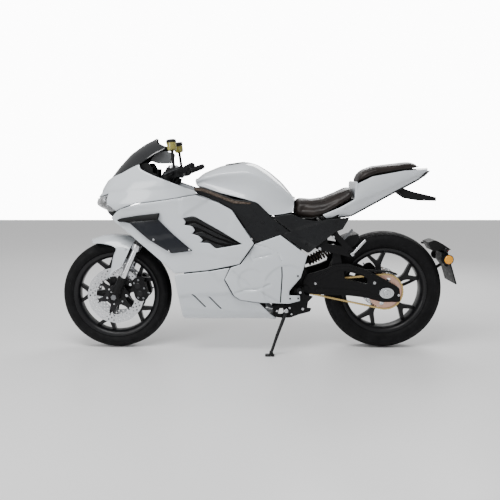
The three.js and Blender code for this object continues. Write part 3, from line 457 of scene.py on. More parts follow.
def inside(points, outline):
    """Which points lie inside the closed outline."""
    x, z = points[:, 0], points[:, 1]
    result = np.zeros(len(points), bool)
    for (x1, z1), (x2, z2) in zip(outline, outline[1:] + outline[:1]):
        crosses = (z1 > z) != (z2 > z)
        with np.errstate(divide="ignore", invalid="ignore"):
            at = (x2 - x1) * (z - z1) / (z2 - z1) + x1
        result ^= crosses & (x < at)
    return result


def edge_distance(points, loops):
    best = np.full(len(points), 1e9)
    for loop in loops:
        for a, b in zip(loop, loop[1:] + loop[:1]):
            run = b - a
            t = np.clip(((points - a) @ run) / max(run @ run, 1e-12), 0, 1)
            best = np.minimum(best, np.linalg.norm(points - a - t[:, None] * run, axis=1))
    return best


def fill(outline, holes=(), extra=()):
    """Triangles over an outline with holes, using extra inner points. Gives points, triangles, loops."""
    loops = [[np.array(p, float) for p in loop] for loop in (outline, *holes)]
    points, edges, starts = [], [], []
    for loop in loops:
        start = len(points)
        starts.append(list(range(start, start + len(loop))))
        points.extend(loop)
        edges.extend((start + i, start + (i + 1) % len(loop)) for i in range(len(loop)))
    points.extend(np.array(p, float) for p in extra)
    result = geometry.delaunay_2d_cdt([Vector(p) for p in points], edges, [], 0, 1e-7)
    out = np.array([tuple(v) for v in result[0]])
    faces = np.array([list(f) for f in result[2]])
    centres = out[faces].mean(axis=1)
    keep = inside(centres, loops[0])
    for hole in loops[1:]:
        keep &= ~inside(centres, hole)
    where = {}
    for new, olds in enumerate(result[3]):
        for old in olds:
            where[old] = new
    return [tuple(p) for p in out], faces[keep].tolist(), [[where[i] for i in loop] for loop in starts]


def smoothstep(value, low, high):
    t = np.clip((value - low) / (high - low), 0, 1)
    return t * t * (3 - 2 * t)


def line_distance(x, z, start, end):
    """Signed distance from the line through two points of the side view, positive on its left."""
    dx, dz = end[0] - start[0], end[1] - start[1]
    return ((z - start[1]) * dx - (x - start[0]) * dz) / math.hypot(dx, dz)


def skin(name, outline, surface, material, body, slot, replaces=(), holes=(), relief=None, roll=0.005,
         thickness=0.003, spacing=0.012, flip=False):
    """A curved panel: an outline in a flat domain, laid on a surface, with rolled edges and thickness."""
    loops = [divided(loop, spacing * 0.7) for loop in (outline, *holes)]
    corner_low = np.min(loops[0], axis=0)
    corner_high = np.max(loops[0], axis=0)
    xs = np.arange(corner_low[0], corner_high[0], spacing)
    zs = np.arange(corner_low[1], corner_high[1], spacing * 0.87)
    grid = np.array([(x + (j % 2) * spacing / 2, z) for j, z in enumerate(zs) for x in xs])
    near = edge_distance(grid, loops)
    grid = grid[(near > roll + spacing * 0.4) & inside(grid, loops[0])]
    for hole in loops[1:]:
        grid = grid[~inside(grid, hole)]
    rings = []
    for depth in (roll * 0.25, roll * 0.6, roll):
        for loop in loops:
            ring = np.array(loop)
            run = np.roll(ring, -1, axis=0) - np.roll(ring, 1, axis=0)
            normal = np.stack([-run[:, 1], run[:, 0]], axis=1)
            normal /= np.maximum(np.linalg.norm(normal, axis=1), 1e-9)[:, None]
            for sign in (-1, 1):
                moved = ring + normal * depth * sign
                keep = inside(moved, loops[0]) & (edge_distance(moved, loops) > depth * 0.93)
                for hole in loops[1:]:
                    keep &= ~inside(moved, hole)
                rings.append(moved[keep])
    extra = np.vstack([grid, *rings]) if rings else grid
    points, faces, borders = fill(loops[0], loops[1:], extra)
    flat = np.array(points)
    step = 0.0005
    a, b = flat[:, 0], flat[:, 1]
    base = surface(a, b)
    normal = np.cross(surface(a + step, b) - base, surface(a, b + step) - base)
    normal /= np.maximum(np.linalg.norm(normal, axis=1), 1e-12)[:, None]
    if flip:
        normal = -normal
    depth = np.minimum(edge_distance(flat, loops), roll)
    sink = roll - np.sqrt(np.maximum(0, roll ** 2 - (roll - depth) ** 2))
    height = -0.6 * sink + (relief(a, b) if relief else 0)
    outer = base + normal * height[:, None]
    inner = outer - normal * thickness
    count = len(outer)
    verts = [*outer, *inner]
    all_faces = [list(f) for f in faces] + [[count + i for i in f][::-1] for f in faces]
    for loop in borders:
        for i, j in zip(loop, loop[1:] + loop[:1]):
            all_faces.append([i, j, j + count, i + count])
    return piece(name, verts, all_faces, material, body, slot, replaces, sharp=40)


def mirrored_domain(half):
    """A half outline that starts and ends on the middle line, closed by its mirror image."""
    return half + [(-p[0], *p[1:]) for p in reversed(half) if abs(p[0]) > 1e-6]


# ------------------------------------------------------------------ body surfaces
BODY_REACH = 0.650
BODY_POWER = 2.4
PROW_Z = [0.700, 0.748, 0.778, 0.798, 0.842, 0.889, 0.970, 1.037, 1.090, 1.119]
PROW_X = [-0.815, -0.838, -0.861, -0.855, -0.819, -0.791, -0.728, -0.666, -0.590, -0.528]


def prow(z):
    """Where the nose's middle line lies at a height, smoothed between its points."""
    spread = (-0.007, 0, 0.007)
    return sum(np.interp(np.asarray(z) + d, PROW_Z, PROW_X) for d in spread) / len(spread)


def body_widest(z):
    above = np.maximum(0, z - 0.600) / 0.230
    below = np.maximum(0, 0.600 - z) / 0.180
    return 0.215 - 0.004 * above ** 4 - 0.010 * below ** 2


def round_nose(behind):
    s = np.clip(behind / BODY_REACH, 0, 1)
    return (1 - (1 - s) ** BODY_POWER) ** (1 / BODY_POWER)


def body_half_width(x, z):
    return body_widest(z) * round_nose(x - prow(z))


def cover_half_width(x, z):
    back = np.maximum(0, x + 0.172) / 0.424
    return 0.203 - 0.038 * back ** 1.6 - 0.012 * ((z - 0.430) / 0.160) ** 2


def frame_cover_half_width(x, z):
    down = (0.820 - z) / 0.230
    back = np.maximum(0, x + 0.100) / 0.260
    upper = 0.160 + 0.030 * down - 0.030 * back ** 2
    lower = 0.152 - 0.025 * np.maximum(0, x - 0.069) / 0.405
    return np.maximum(upper, lower)


def circle(x, z, radius, count):
    """A round outline of so many points."""
    turns = np.linspace(0, 2 * math.pi, count + 1)[:-1]
    return [(x + radius * math.cos(t), z + radius * math.sin(t)) for t in turns]


def ring_round(centre, radius, count):
    """A round outline of so many points about a point of the side view."""
    return [around(centre, radius, t) for t in np.linspace(0, 2 * math.pi, count + 1)[:-1]]


def width_at(half_width, x, z):
    """One half-width of the body as a plain number."""
    return float(half_width(np.array(x), np.array(z)))


def span(side, near, far):
    """The low and high y of a stretch between two distances from the middle, on one side."""
    return sorted((side * near, side * far))


def side_surface(side, half_width, out=0.0):
    def surface(x, z):
        return np.stack([x, side * (half_width(x, z) + out), z], axis=1)
    return surface


NOSE_SCALE = 0.45
NOSE_REACH = 0.560


def nose_surface(inset=0.0):
    """The nose in a flat domain: across is measured from the middle line, up is the height."""
    def surface(across, up):
        turn = across / NOSE_SCALE
        behind = NOSE_REACH * turn ** 2
        y = np.sign(turn) * body_widest(up) * round_nose(behind)
        return np.stack([prow(up) + behind + inset, y * (1 - inset / 0.2), up], axis=1)
    return surface


def nose_across(x, z):
    return NOSE_SCALE * math.sqrt(max(0.0, float(x - prow(z))) / NOSE_REACH)


def nose_outline(points):
    """Side-view points of the nose, put in its flat domain."""
    return [(-nose_across(x, z), z, *rest) for x, z, *rest in points]


# ------------------------------------------------------------------ fairings
COWL_SEAM = [(-0.729, 0.743), (-0.707, 0.756), (-0.616, 0.785), (-0.464, 0.806), (-0.314, 0.831)]
VENT = [(-0.381, 0.713, 0.005), (-0.333, 0.723, 0.008), (-0.314, 0.719, 0.008), (-0.199, 0.654),
        (-0.080, 0.582, 0.006),
        (-0.215, 0.559, 0.010), (-0.247, 0.587, 0.008), (-0.294, 0.590, 0.003), (-0.279, 0.602, 0.008),
        (-0.302, 0.624, 0.010), (-0.336, 0.634, 0.003), (-0.319, 0.651, 0.008), (-0.336, 0.675, 0.010),
        (-0.374, 0.678, 0.003), (-0.366, 0.694, 0.008)]
CLAWS = [[(-0.380, 0.712, 0.004), (-0.333, 0.721, 0.006), (-0.314, 0.717, 0.006), (-0.199, 0.652),
          (-0.105, 0.594, 0.004),
          (-0.205, 0.640, 0.020), (-0.318, 0.702, 0.008), (-0.362, 0.696, 0.006)],
         [(-0.373, 0.679, 0.003), (-0.320, 0.688, 0.010), (-0.215, 0.640, 0.020), (-0.110, 0.588, 0.004),
          (-0.215, 0.620, 0.020), (-0.300, 0.664, 0.010), (-0.340, 0.673, 0.006)],
         [(-0.335, 0.635, 0.003), (-0.285, 0.646, 0.010), (-0.205, 0.608, 0.020), (-0.130, 0.580, 0.004),
          (-0.205, 0.590, 0.020), (-0.270, 0.620, 0.010), (-0.302, 0.626, 0.006)],
         [(-0.293, 0.591, 0.003), (-0.258, 0.602, 0.010), (-0.205, 0.580, 0.010), (-0.165, 0.570, 0.004),
          (-0.212, 0.562, 0.006), (-0.247, 0.588, 0.006)]]


def step_line(x, z, start, end, width=0.004):
    """0 on the right of a line of the side view and 1 on its left, with a soft step between."""
    return smoothstep(line_distance(x, z, start, end), -width, width)


def make_nose():
    cowl = mirrored_domain(nose_outline([
        (-1, 0.813), (-0.838, 0.813), (-0.774, 0.834, 0.006), (-0.731, 0.745, 0.006), (-0.707, 0.756),
        (-0.616, 0.786), (-0.464, 0.807), (-0.314, 0.832, 0.004), (-0.316, 0.850, 0.006), (-0.456, 0.900),
        (-0.602, 0.961, 0.010), (-0.606, 0.984, 0.010), (-0.700, 0.938), (-0.797, 0.885), (-1, 0.874)]))

    def cowl_relief(across, up):
        x = prow(up) + NOSE_REACH * (across / NOSE_SCALE) ** 2
        brow = smoothstep(up, 0.835, 0.850) * smoothstep(-x, 0.700, 0.790)
        blade = step_line(x, up, (-0.760, 0.846), (-0.430, 0.868), 0.006)
        return 0.004 * blade * smoothstep(-x, 0.33, 0.45) + 0.003 * brow

    skin("nose_shell", rounded(cowl), nose_surface(), WHITE, "chassis", "white_paint", "nose_cowl",
         relief=cowl_relief, roll=0.006, spacing=0.010, flip=True)
    lens = mirrored_domain(nose_outline([
        (-1, 0.775), (-0.856, 0.775), (-0.762, 0.739, 0.004), (-0.733, 0.746, 0.006), (-0.777, 0.827, 0.006),
        (-0.842, 0.807), (-1, 0.805)]))
    skin("headlight_lens", rounded(lens), nose_surface(0.005), LENS, "chassis", "lamp", "headlight",
         roll=0.003, spacing=0.010, flip=True)
    skin("headlight_back", rounded(lens), nose_surface(0.018), GLASS_BLACK, "chassis", "lamp",
         relief=lambda across, up: 0.003 * np.sin(up * 520), roll=0.006, spacing=0.006, flip=True)
    optics = Shape()
    for side, _ in SIDES:
        for x, z, radius in ((-0.800, 0.800, 0.014), (-0.776, 0.778, 0.013)):
            y = side * (width_at(body_half_width, x, z) - 0.016)
            outward = Vector((-0.8, side * 0.6, 0.05))
            optics.lathe([(0, 0), (radius, 0.002), (radius, 0.008), (radius * 0.8, 0.007),
                          (radius * 0.3, 0.001),
                          (0, 0.001)], (x + 0.006, y, z), outward, 28)
    for side, _ in SIDES:
        rim = [(-0.842, 0.803), (-0.800, 0.815), (-0.779, 0.821), (-0.764, 0.790), (-0.742, 0.753)]
        path = [(x, side * (width_at(body_half_width, x, z) - 0.004), z) for x, z in rim]
        optics.tube(path, 0.0022, 8)
    optics.to_piece("headlight_optics", CHROME, "chassis", "lamp")
    # the dark duct under the headlight
    duct = mirrored_domain(nose_outline([
        (-1, 0.768), (-0.846, 0.768), (-0.752, 0.728), (-0.700, 0.742), (-0.690, 0.690), (-0.768, 0.700),
        (-1, 0.722)]))
    skin("nose_duct", rounded(duct), nose_surface(0.030), GRAINED, "chassis", "black_plastic", (),
         relief=lambda across, up: -0.004 * smoothstep(np.abs(across), 0.0, 0.05), roll=0.006, flip=True)
    screen = mirrored_domain(nose_outline([
        (-1, 0.888), (-0.797, 0.888), (-0.700, 0.941), (-0.602, 0.988), (-0.456, 1.070, 0.030),
        (-0.528, 1.1185), (-1, 1.1185)]))
    skin("screen", rounded(screen), nose_surface(-0.0005), SCREEN, "chassis", "screen", "windscreen",
         roll=0.002, thickness=0.003, spacing=0.012, flip=True)
    border = mirrored_domain(nose_outline([
        (-1, 0.890), (-0.796, 0.890), (-0.700, 0.943), (-0.602, 0.990), (-0.462, 1.069, 0.026),
        (-0.532, 1.1125), (-1, 1.1125)]))
    opening = mirrored_domain(nose_outline([
        (-1, 0.925), (-0.760, 0.925), (-0.690, 0.962), (-0.600, 1.008, 0.02), (-0.500, 1.062, 0.026),
        (-0.560, 1.092), (-1, 1.098)]))
    skin("screen_border", rounded(border), nose_surface(0.0035), SATIN, "chassis", "black_plastic",
         holes=[rounded(opening)], roll=0.001, thickness=0.0015, spacing=0.012, flip=True)
    screws = Shape()
    for side, _ in SIDES:
        for x, z in ((-0.742, 0.921), (-0.640, 0.972)):
            y = side * width_at(body_half_width, x, z)
            screws.screw((x, y, z), (-0.35, side, 0.5), 0.0045, 0.003)
    screws.to_piece("screen_screws", BLACK_METAL, "chassis", "black_metal")


def make_side_fairings():
    seam = [(x, z - 0.002) for x, z in reversed(COWL_SEAM)]
    outline = rounded([*seam, (-0.767, 0.705, 0.006), (-0.660, 0.628), (-0.515, 0.506),
                       (-0.446, 0.446, 0.010),
                       (-0.428, 0.427, 0.008), (-0.249, 0.447), (-0.096, 0.479), (-0.022, 0.586, 0.006),
                       (-0.134, 0.754), (-0.202, 0.791)], 0.004)
    vent = rounded(VENT)

    def relief(x, z):
        lip = 0.0045 * step_line(x, z, (-0.640, 0.760), (-0.300, 0.800), 0.008)
        low = 0.006 * (1 - step_line(x, z, (-0.520, 0.560), (-0.050, 0.500), 0.010))
        cheek = 0.005 * step_line(x, z, (-0.215, 0.470), (-0.110, 0.760), 0.012)
        brow = 0.009 * step_line(x, z, (-0.387, 0.722), (-0.265, 0.801), 0.005) * smoothstep(x, -0.400,
                                                                                             -0.380)
        return lip + brow - low * 0.6 - cheek * 0.5

    for side, word in SIDES:
        skin(f"fairing_{word}", outline, side_surface(side, body_half_width), WHITE, "chassis",
             "white_paint",
             f"side_fairing_{word}", holes=[vent], relief=relief, roll=0.006, spacing=0.012,
             flip=side == RIGHT)
        skin(f"vent_back_{word}", rounded(VENT), side_surface(side, body_half_width, -0.020), GRAINED,
             "chassis",
             "black_plastic", roll=0.004, thickness=0.002, flip=side == RIGHT)
        for i, claw in enumerate(CLAWS):
            skin(f"louvre_{i + 1}_{word}", rounded(claw), side_surface(side, body_half_width, -0.004), SATIN,
                 "chassis", "black_plastic", roll=0.005, thickness=0.008, spacing=0.007, flip=side == RIGHT)


def make_winglets():
    plate = rounded([(-0.700, 0.691, 0.004), (-0.644, 0.695), (-0.506, 0.706, 0.006), (-0.427, 0.630, 0.01),
                     (-0.332, 0.548, 0.006), (-0.440, 0.534, 0.010), (-0.556, 0.602), (-0.655, 0.684)])
    blade = rounded([(-0.726, 0.699, 0.003), (-0.712, 0.706, 0.004), (-0.615, 0.724), (-0.498, 0.739, 0.006),
                     (-0.506, 0.708, 0.006), (-0.638, 0.697), (-0.713, 0.689, 0.004)])

    def relief(x, z):
        return -0.003 * (1 - step_line(x, z, (-0.560, 0.608), (-0.415, 0.627), 0.003)) \
            + 0.002 * step_line(x, z, (-0.440, 0.545), (-0.360, 0.556), 0.004)

    for side, word in SIDES:
        skin(f"winglet_plate_{word}", plate, side_surface(side, body_half_width, 0.009), WINGLET, "chassis",
             "black_plastic", f"winglet_{word}", relief=relief, roll=0.004, thickness=0.006,
             flip=side == RIGHT)
        skin(f"winglet_blade_{word}", blade, side_surface(side, body_half_width, 0.019), GRAINED, "chassis",
             "black_plastic", relief=lambda x, z: 0.004 * np.sin(np.clip((z - 0.690) / 0.045, 0,
                                                                         1) * math.pi),
             roll=0.006, thickness=0.014, spacing=0.009, flip=side == RIGHT)
        bolts = Shape()
        for x, z in ((-0.530, 0.604), (-0.452, 0.546), (-0.348, 0.554)):
            y = side * (width_at(body_half_width, x, z) + 0.008)
            bolts.screw((x, y, z), (-0.1, side, 0), 0.0055, 0.0035)
        bolts.to_piece(f"winglet_bolts_{word}", SILVER, "chassis", "steel")


def belly_section(s):
    """The trough's end view by distance from its middle line: half-width and height."""
    ways = [0.0, 0.125, 0.163, 0.292, 0.438]
    wide = np.interp(s, ways, [0.0, 0.125, 0.152, 0.182, 0.199])
    high = np.interp(s, ways, [0.178, 0.178, 0.205, 0.330, 0.475])
    return wide, high


def belly_surface(s, x):
    spread = np.linspace(-0.012, 0.012, 5)
    wide = sum(belly_section(np.abs(s) + d)[0] for d in spread) / 5
    high = sum(belly_section(np.abs(s) + d)[1] for d in spread) / 5
    return np.stack([x, np.sign(s) * wide, high], axis=1)


def belly_distance(z):
    return float(np.interp(z, [0.178, 0.205, 0.330, 0.475], [0.125, 0.163, 0.292, 0.438]))


def make_belly():
    def domain(points):
        return [(-belly_distance(z), x, *rest) for x, z, *rest in points]

    half = [(0, -0.380), (-0.125, -0.386), *domain([
        (-0.392, 0.190, 0.01), (-0.428, 0.423, 0.010), (-0.249, 0.443), (-0.146, 0.462, 0.004),
                                                    (-0.174, 0.398),
        (-0.129, 0.312, 0.01), (-0.094, 0.288), (0.005, 0.274), (0.076, 0.199, 0.006), (0.096, 0.182)]),
        (-0.125, 0.096), (0, 0.096)]

    def slit(points):
        return [domain(points), [(-p[0], *p[1:]) for p in domain(points)]]

    holes = [*slit([(-0.343, 0.322, 0.002), (-0.335, 0.322, 0.002), (-0.268, 0.248, 0.002),
                    (-0.276, 0.248, 0.002)]),
             *slit([(-0.257, 0.306, 0.002), (-0.249, 0.306, 0.002), (-0.187, 0.238, 0.002),
                    (-0.195, 0.238, 0.002)])]

    def relief(s, x):
        z = belly_section(np.abs(s))[1]
        upper = step_line(x, z, (-0.400, 0.310), (-0.110, 0.330), 0.006)
        slope = step_line(x, z, (-0.246, 0.438), (-0.170, 0.374), 0.003)
        ledge = step_line(x, z, (-0.324, 0.233), (0.072, 0.212), 0.003)
        return 0.006 * upper + 0.005 * slope + 0.003 * ledge

    skin("belly_shell", rounded(mirrored_domain(half), 0.004), belly_surface, WHITE, "chassis",
         "white_paint",
         "belly_pan", holes=[rounded(hole) for hole in holes], relief=relief, roll=0.005, spacing=0.012)
    screws = Shape()
    for side, _ in SIDES:
        for x, z in ((-0.367, 0.411), (-0.275, 0.424), (-0.171, 0.447)):
            y = side * float(belly_section(belly_distance(z))[0])
            screws.screw((x, y * 1.012, z), (0, side, -0.1), 0.0055, 0.0032)
    screws.to_piece("belly_screws", BLACK_METAL, "chassis", "steel")
    louvres = Shape()
    for side, _ in SIDES:
        for x, z in ((-0.197, 0.440), (-0.181, 0.423)):
            low, high = span(side, 0.195, 0.203)
            louvres.prism(rounded([(x, z, 0.002), (x + 0.006, z, 0.002), (x - 0.003, z - 0.024, 0.002),
                                   (x - 0.010, z - 0.024, 0.002)]), low, high)
    louvres.to_piece("belly_vents", GRAINED, "chassis", "black_plastic", bevel=0.0006)


def path_distance(x, z, points):
    """Distance from an open path of the side view."""
    best = np.full(np.shape(x), 1.0)
    for (x1, z1), (x2, z2) in zip(points, points[1:]):
        dx, dz = x2 - x1, z2 - z1
        t = np.clip(((x - x1) * dx + (z - z1) * dz) / (dx * dx + dz * dz), 0, 1)
        best = np.minimum(best, np.hypot(x - x1 - t * dx, z - z1 - t * dz))
    return best


COVER_GROOVE = [(-0.018, 0.578), (0.049, 0.560), (0.102, 0.531), (0.120, 0.494)]
COVER_CREASES = [[(-0.047, 0.538), (-0.028, 0.488)], [(-0.018, 0.509), (0.065, 0.525)],
                 [(-0.127, 0.444), (-0.044, 0.365)],
                 [(-0.117, 0.328), (-0.060, 0.346), (0.000, 0.346), (0.060, 0.372)],
                 [(0.003, 0.337), (0.103, 0.275)]]


def make_battery_covers():
    outline = rounded([(-0.018, 0.579, 0.004), (0.112, 0.623, 0.004), (0.252, 0.518, 0.010), (0.220, 0.404),
                       (0.160, 0.334, 0.008), (0.160, 0.311, 0.006), (0.217, 0.308, 0.004),
                       (0.218, 0.280, 0.004),
                       (0.157, 0.265), (0.005, 0.277), (-0.092, 0.293), (-0.124, 0.316), (-0.170, 0.401),
                       (-0.141, 0.461, 0.008), (-0.090, 0.477)], 0.003)

    def relief(x, z):
        groove = np.exp(-(path_distance(x, z, COVER_GROOVE) / 0.0035) ** 2)
        creases = sum(np.exp(-(path_distance(x, z, line) / 0.0045) ** 2) for line in COVER_CREASES)
        dish = smoothstep(np.hypot(x + 0.035, (z - 0.395) * 1.15), 0.060, 0.074)
        arc = smoothstep(np.hypot(x - 0.150, z - 0.345), 0.120, 0.128)
        return -0.006 * groove - 0.0055 * creases + 0.004 * dish + 0.004 * arc

    for side, word in SIDES:
        skin(f"battery_side_{word}", outline, side_surface(side, cover_half_width, -0.004), WHITE, "chassis",
             "white_paint", f"battery_cover_{word}", relief=relief, roll=0.005, spacing=0.007,
             flip=side == RIGHT)
        details = Shape()
        for x, z in ((-0.095, 0.440), (0.044, 0.589), (0.204, 0.413), (0.165, 0.294), (0.207, 0.294)):
            y = side * width_at(cover_half_width, x, z)
            details.screw((x, y, z), (0, side, 0), 0.0050, 0.0030)
        details.to_piece(f"cover_screws_{word}", BLACK_METAL, "chassis", "steel")
        strip = rounded([(0.117, 0.495, 0.001), (0.1225, 0.495, 0.001), (0.1255, 0.415),
                         (0.118, 0.273, 0.001),
                         (0.112, 0.273, 0.001), (0.1195, 0.415)])
        skin(f"cover_seam_{word}", strip, side_surface(side, cover_half_width, 0.0012), GRAINED, "chassis",
             "black_plastic", roll=0.0015, thickness=0.003, spacing=0.004, flip=side == RIGHT)


def make_frame_covers():
    cover = rounded([(-0.331, 0.868, 0.003), (-0.278, 0.867), (-0.121, 0.806), (-0.020, 0.796, 0.008),
                     (0.064, 0.718, 0.004), (0.163, 0.640, 0.003), (0.119, 0.627, 0.003),
                     (-0.017, 0.590, 0.004),
                     (-0.134, 0.754, 0.006), (-0.202, 0.793), (-0.311, 0.833, 0.003)])
    panel = rounded([(0.068, 0.717, 0.003), (0.166, 0.732), (0.235, 0.703), (0.300, 0.692),
                     (0.352, 0.701), (0.474, 0.712, 0.004), (0.437, 0.650),
                     (0.399, 0.635, 0.006), (0.262, 0.526, 0.010), (0.112, 0.629, 0.004),
                     (0.167, 0.641, 0.002)])

    def ribs(x, z):
        return 0.003 * step_line(x, z, (-0.330, 0.852), (-0.060, 0.775), 0.003)

    strip = rounded([(-0.326, 0.864, 0.002), (-0.278, 0.862), (-0.121, 0.801), (-0.034, 0.789, 0.002),
                     (-0.040, 0.781, 0.002), (-0.125, 0.785), (-0.282, 0.846), (-0.325, 0.851, 0.002)])

    def grooves(x, z):
        return 0.0011 * np.sin(line_distance(x, z, (-0.330, 0.868), (-0.060, 0.790)) * 1250)

    def pocket(x, z):
        line = step_line(x, z, (0.155, 0.641), (0.337, 0.694), 0.004)
        lower = step_line(x, z, (0.180, 0.610), (0.300, 0.560), 0.006)
        return 0.003 * line + 0.003 * lower

    for side, word in SIDES:
        skin(f"spar_cover_{word}", cover, side_surface(side, frame_cover_half_width), SATIN, "chassis",
             "satin_cover", f"frame_cover_{word}", relief=ribs, roll=0.005, spacing=0.008,
             flip=side == RIGHT)
        # the ribbed strip along the top of the spar cover: its ridges are modelled, and its bronze-brown
        # colour is painted sheen of the dark satin cover
        skin(f"spar_strip_{word}", strip, side_surface(side, frame_cover_half_width, 0.0045), SPRING_BRONZE_AND_PAINTED_SHEEN,
             "chassis",
             "satin_cover", relief=grooves, roll=0.002, thickness=0.003, spacing=0.0032, flip=side == RIGHT)
        skin(f"seat_panel_{word}", panel, side_surface(side, frame_cover_half_width, -0.003), SATIN,
             "chassis",
             "satin_cover", relief=pocket, roll=0.006, spacing=0.009, flip=side == RIGHT)
        screws = Shape()
        for x, z in ((-0.250, 0.822), (0.020, 0.690), (0.100, 0.650), (0.250, 0.575), (0.400, 0.690)):
            y = side * (width_at(frame_cover_half_width, x, z) + 0.001)
            screws.screw((x, y, z), (0, side, 0.1), 0.0055, 0.0035)
        screws.to_piece(f"spar_screws_{word}", BLACK_METAL, "chassis", "steel")


# ------------------------------------------------------------------ tank, tail and seats
TANK_X = [-0.326, -0.287, -0.195, -0.063, -0.007, 0.059, 0.125, 0.176, 0.192]
TANK_RIDGE = [0.896, 0.933, 0.971, 0.994, 0.980, 0.941, 0.885, 0.824, 0.797]
TANK_WIDE = [0.090, 0.125, 0.140, 0.148, 0.149, 0.145, 0.130, 0.113, 0.108]
TANK_CREASE = [0.886, 0.908, 0.928, 0.938, 0.922, 0.893, 0.856, 0.808, 0.790]
TANK_FOOT_WIDE = [0.106, 0.142, 0.152, 0.158, 0.156, 0.149, 0.131, 0.114, 0.110]
TANK_FOOT = [0.870, 0.866, 0.836, 0.804, 0.788, 0.722, 0.728, 0.736, 0.742]


def eased(x, keys, values, reach=0.016):
    return sum(np.interp(x + d, keys, values) for d in (-reach, -reach / 2, 0, reach / 2, reach)) / 5


def tank_surface(u, x):
    """u runs from -1 at the left foot over the ridge to 1; the crease is at 0.6."""
    ridge, wide = eased(x, TANK_X, TANK_RIDGE), eased(x, TANK_X, TANK_WIDE)
    crease, foot_wide = eased(x, TANK_X, TANK_CREASE), eased(x, TANK_X, TANK_FOOT_WIDE)
    foot = eased(x, TANK_X, TANK_FOOT, 0.010)
    a = np.abs(u)
    top = np.clip(a / 0.6, 0, 1)
    down = np.clip((a - 0.6) / 0.4, 0, 1)
    y = np.where(a < 0.6, wide * np.sin(top * 1.42) / math.sin(1.42), wide + (foot_wide - wide) * down)
    y = y - 0.015 * np.sin(down * math.pi)
    z = np.where(a < 0.6,
                 crease + (ridge - crease) * (np.cos(top * 1.42) - math.cos(1.42)) / (1 - math.cos(1.42)),
                 crease + (foot - crease) * down)
    return np.stack([x, np.sign(u) * y, z], axis=1)


def stretched(surface, scale):
    """The same surface, with its first measure given in metres instead of parts."""
    return lambda a, b: surface(a / scale, b)


def make_tank():
    reach = 0.24
    half = [(0, -0.322), (-0.10, -0.321), (-0.20, -0.318), (-reach, -0.312, 0.01), (-reach, -0.10),
            (-reach, 0.180, 0.004), (-0.15, 0.186), (0, 0.190)]
    skin("tank_shell", rounded(mirrored_domain(half), 0.004), stretched(tank_surface, reach), WHITE,
         "chassis",
         "white_paint", "tank_cover", roll=0.006, thickness=0.004, spacing=0.010)
    cap = Shape()
    cap.lathe([(0, 0), (0.052, 0), (0.054, 0.003), (0.052, 0.007), (0.046, 0.009), (0.030, 0.0095),
               (0, 0.010)],
              (-0.120, 0, 0.982), (-0.14, 0, 1), 48)
    for i in range(6):
        angle = i * math.pi / 3
        place = Vector((-0.120 + 0.045 * math.cos(angle), 0.045 * math.sin(angle),
                        0.9885 + 0.0063 * math.cos(angle)))
        cap.screw(place, (-0.14, 0, 1), 0.004, 0.003)
    cap.to_piece("charge_cap", BLACK_METAL, "chassis", "black_metal")


TAIL_X = [0.330, 0.502, 0.592, 0.761, 0.843, 0.900]
TAIL_HALF = [0.131, 0.124, 0.108, 0.080, 0.060, 0.034]


def tail_half_width(x, z):
    low = eased(x, [0.334, 0.482, 0.716, 0.843, 0.898], [0.690, 0.717, 0.842, 0.906, 0.950])
    high = eased(x, [0.334, 0.417, 0.501, 0.592, 0.761, 0.898], [0.725, 0.760, 0.850, 0.921, 0.951, 0.957])
    t = np.clip((z - low) / np.maximum(high - low, 0.01), 0, 1)
    shape = 1 - 0.20 * (1 - t) ** 2 - 0.10 * t ** 3
    return eased(x, TAIL_X, TAIL_HALF) * shape


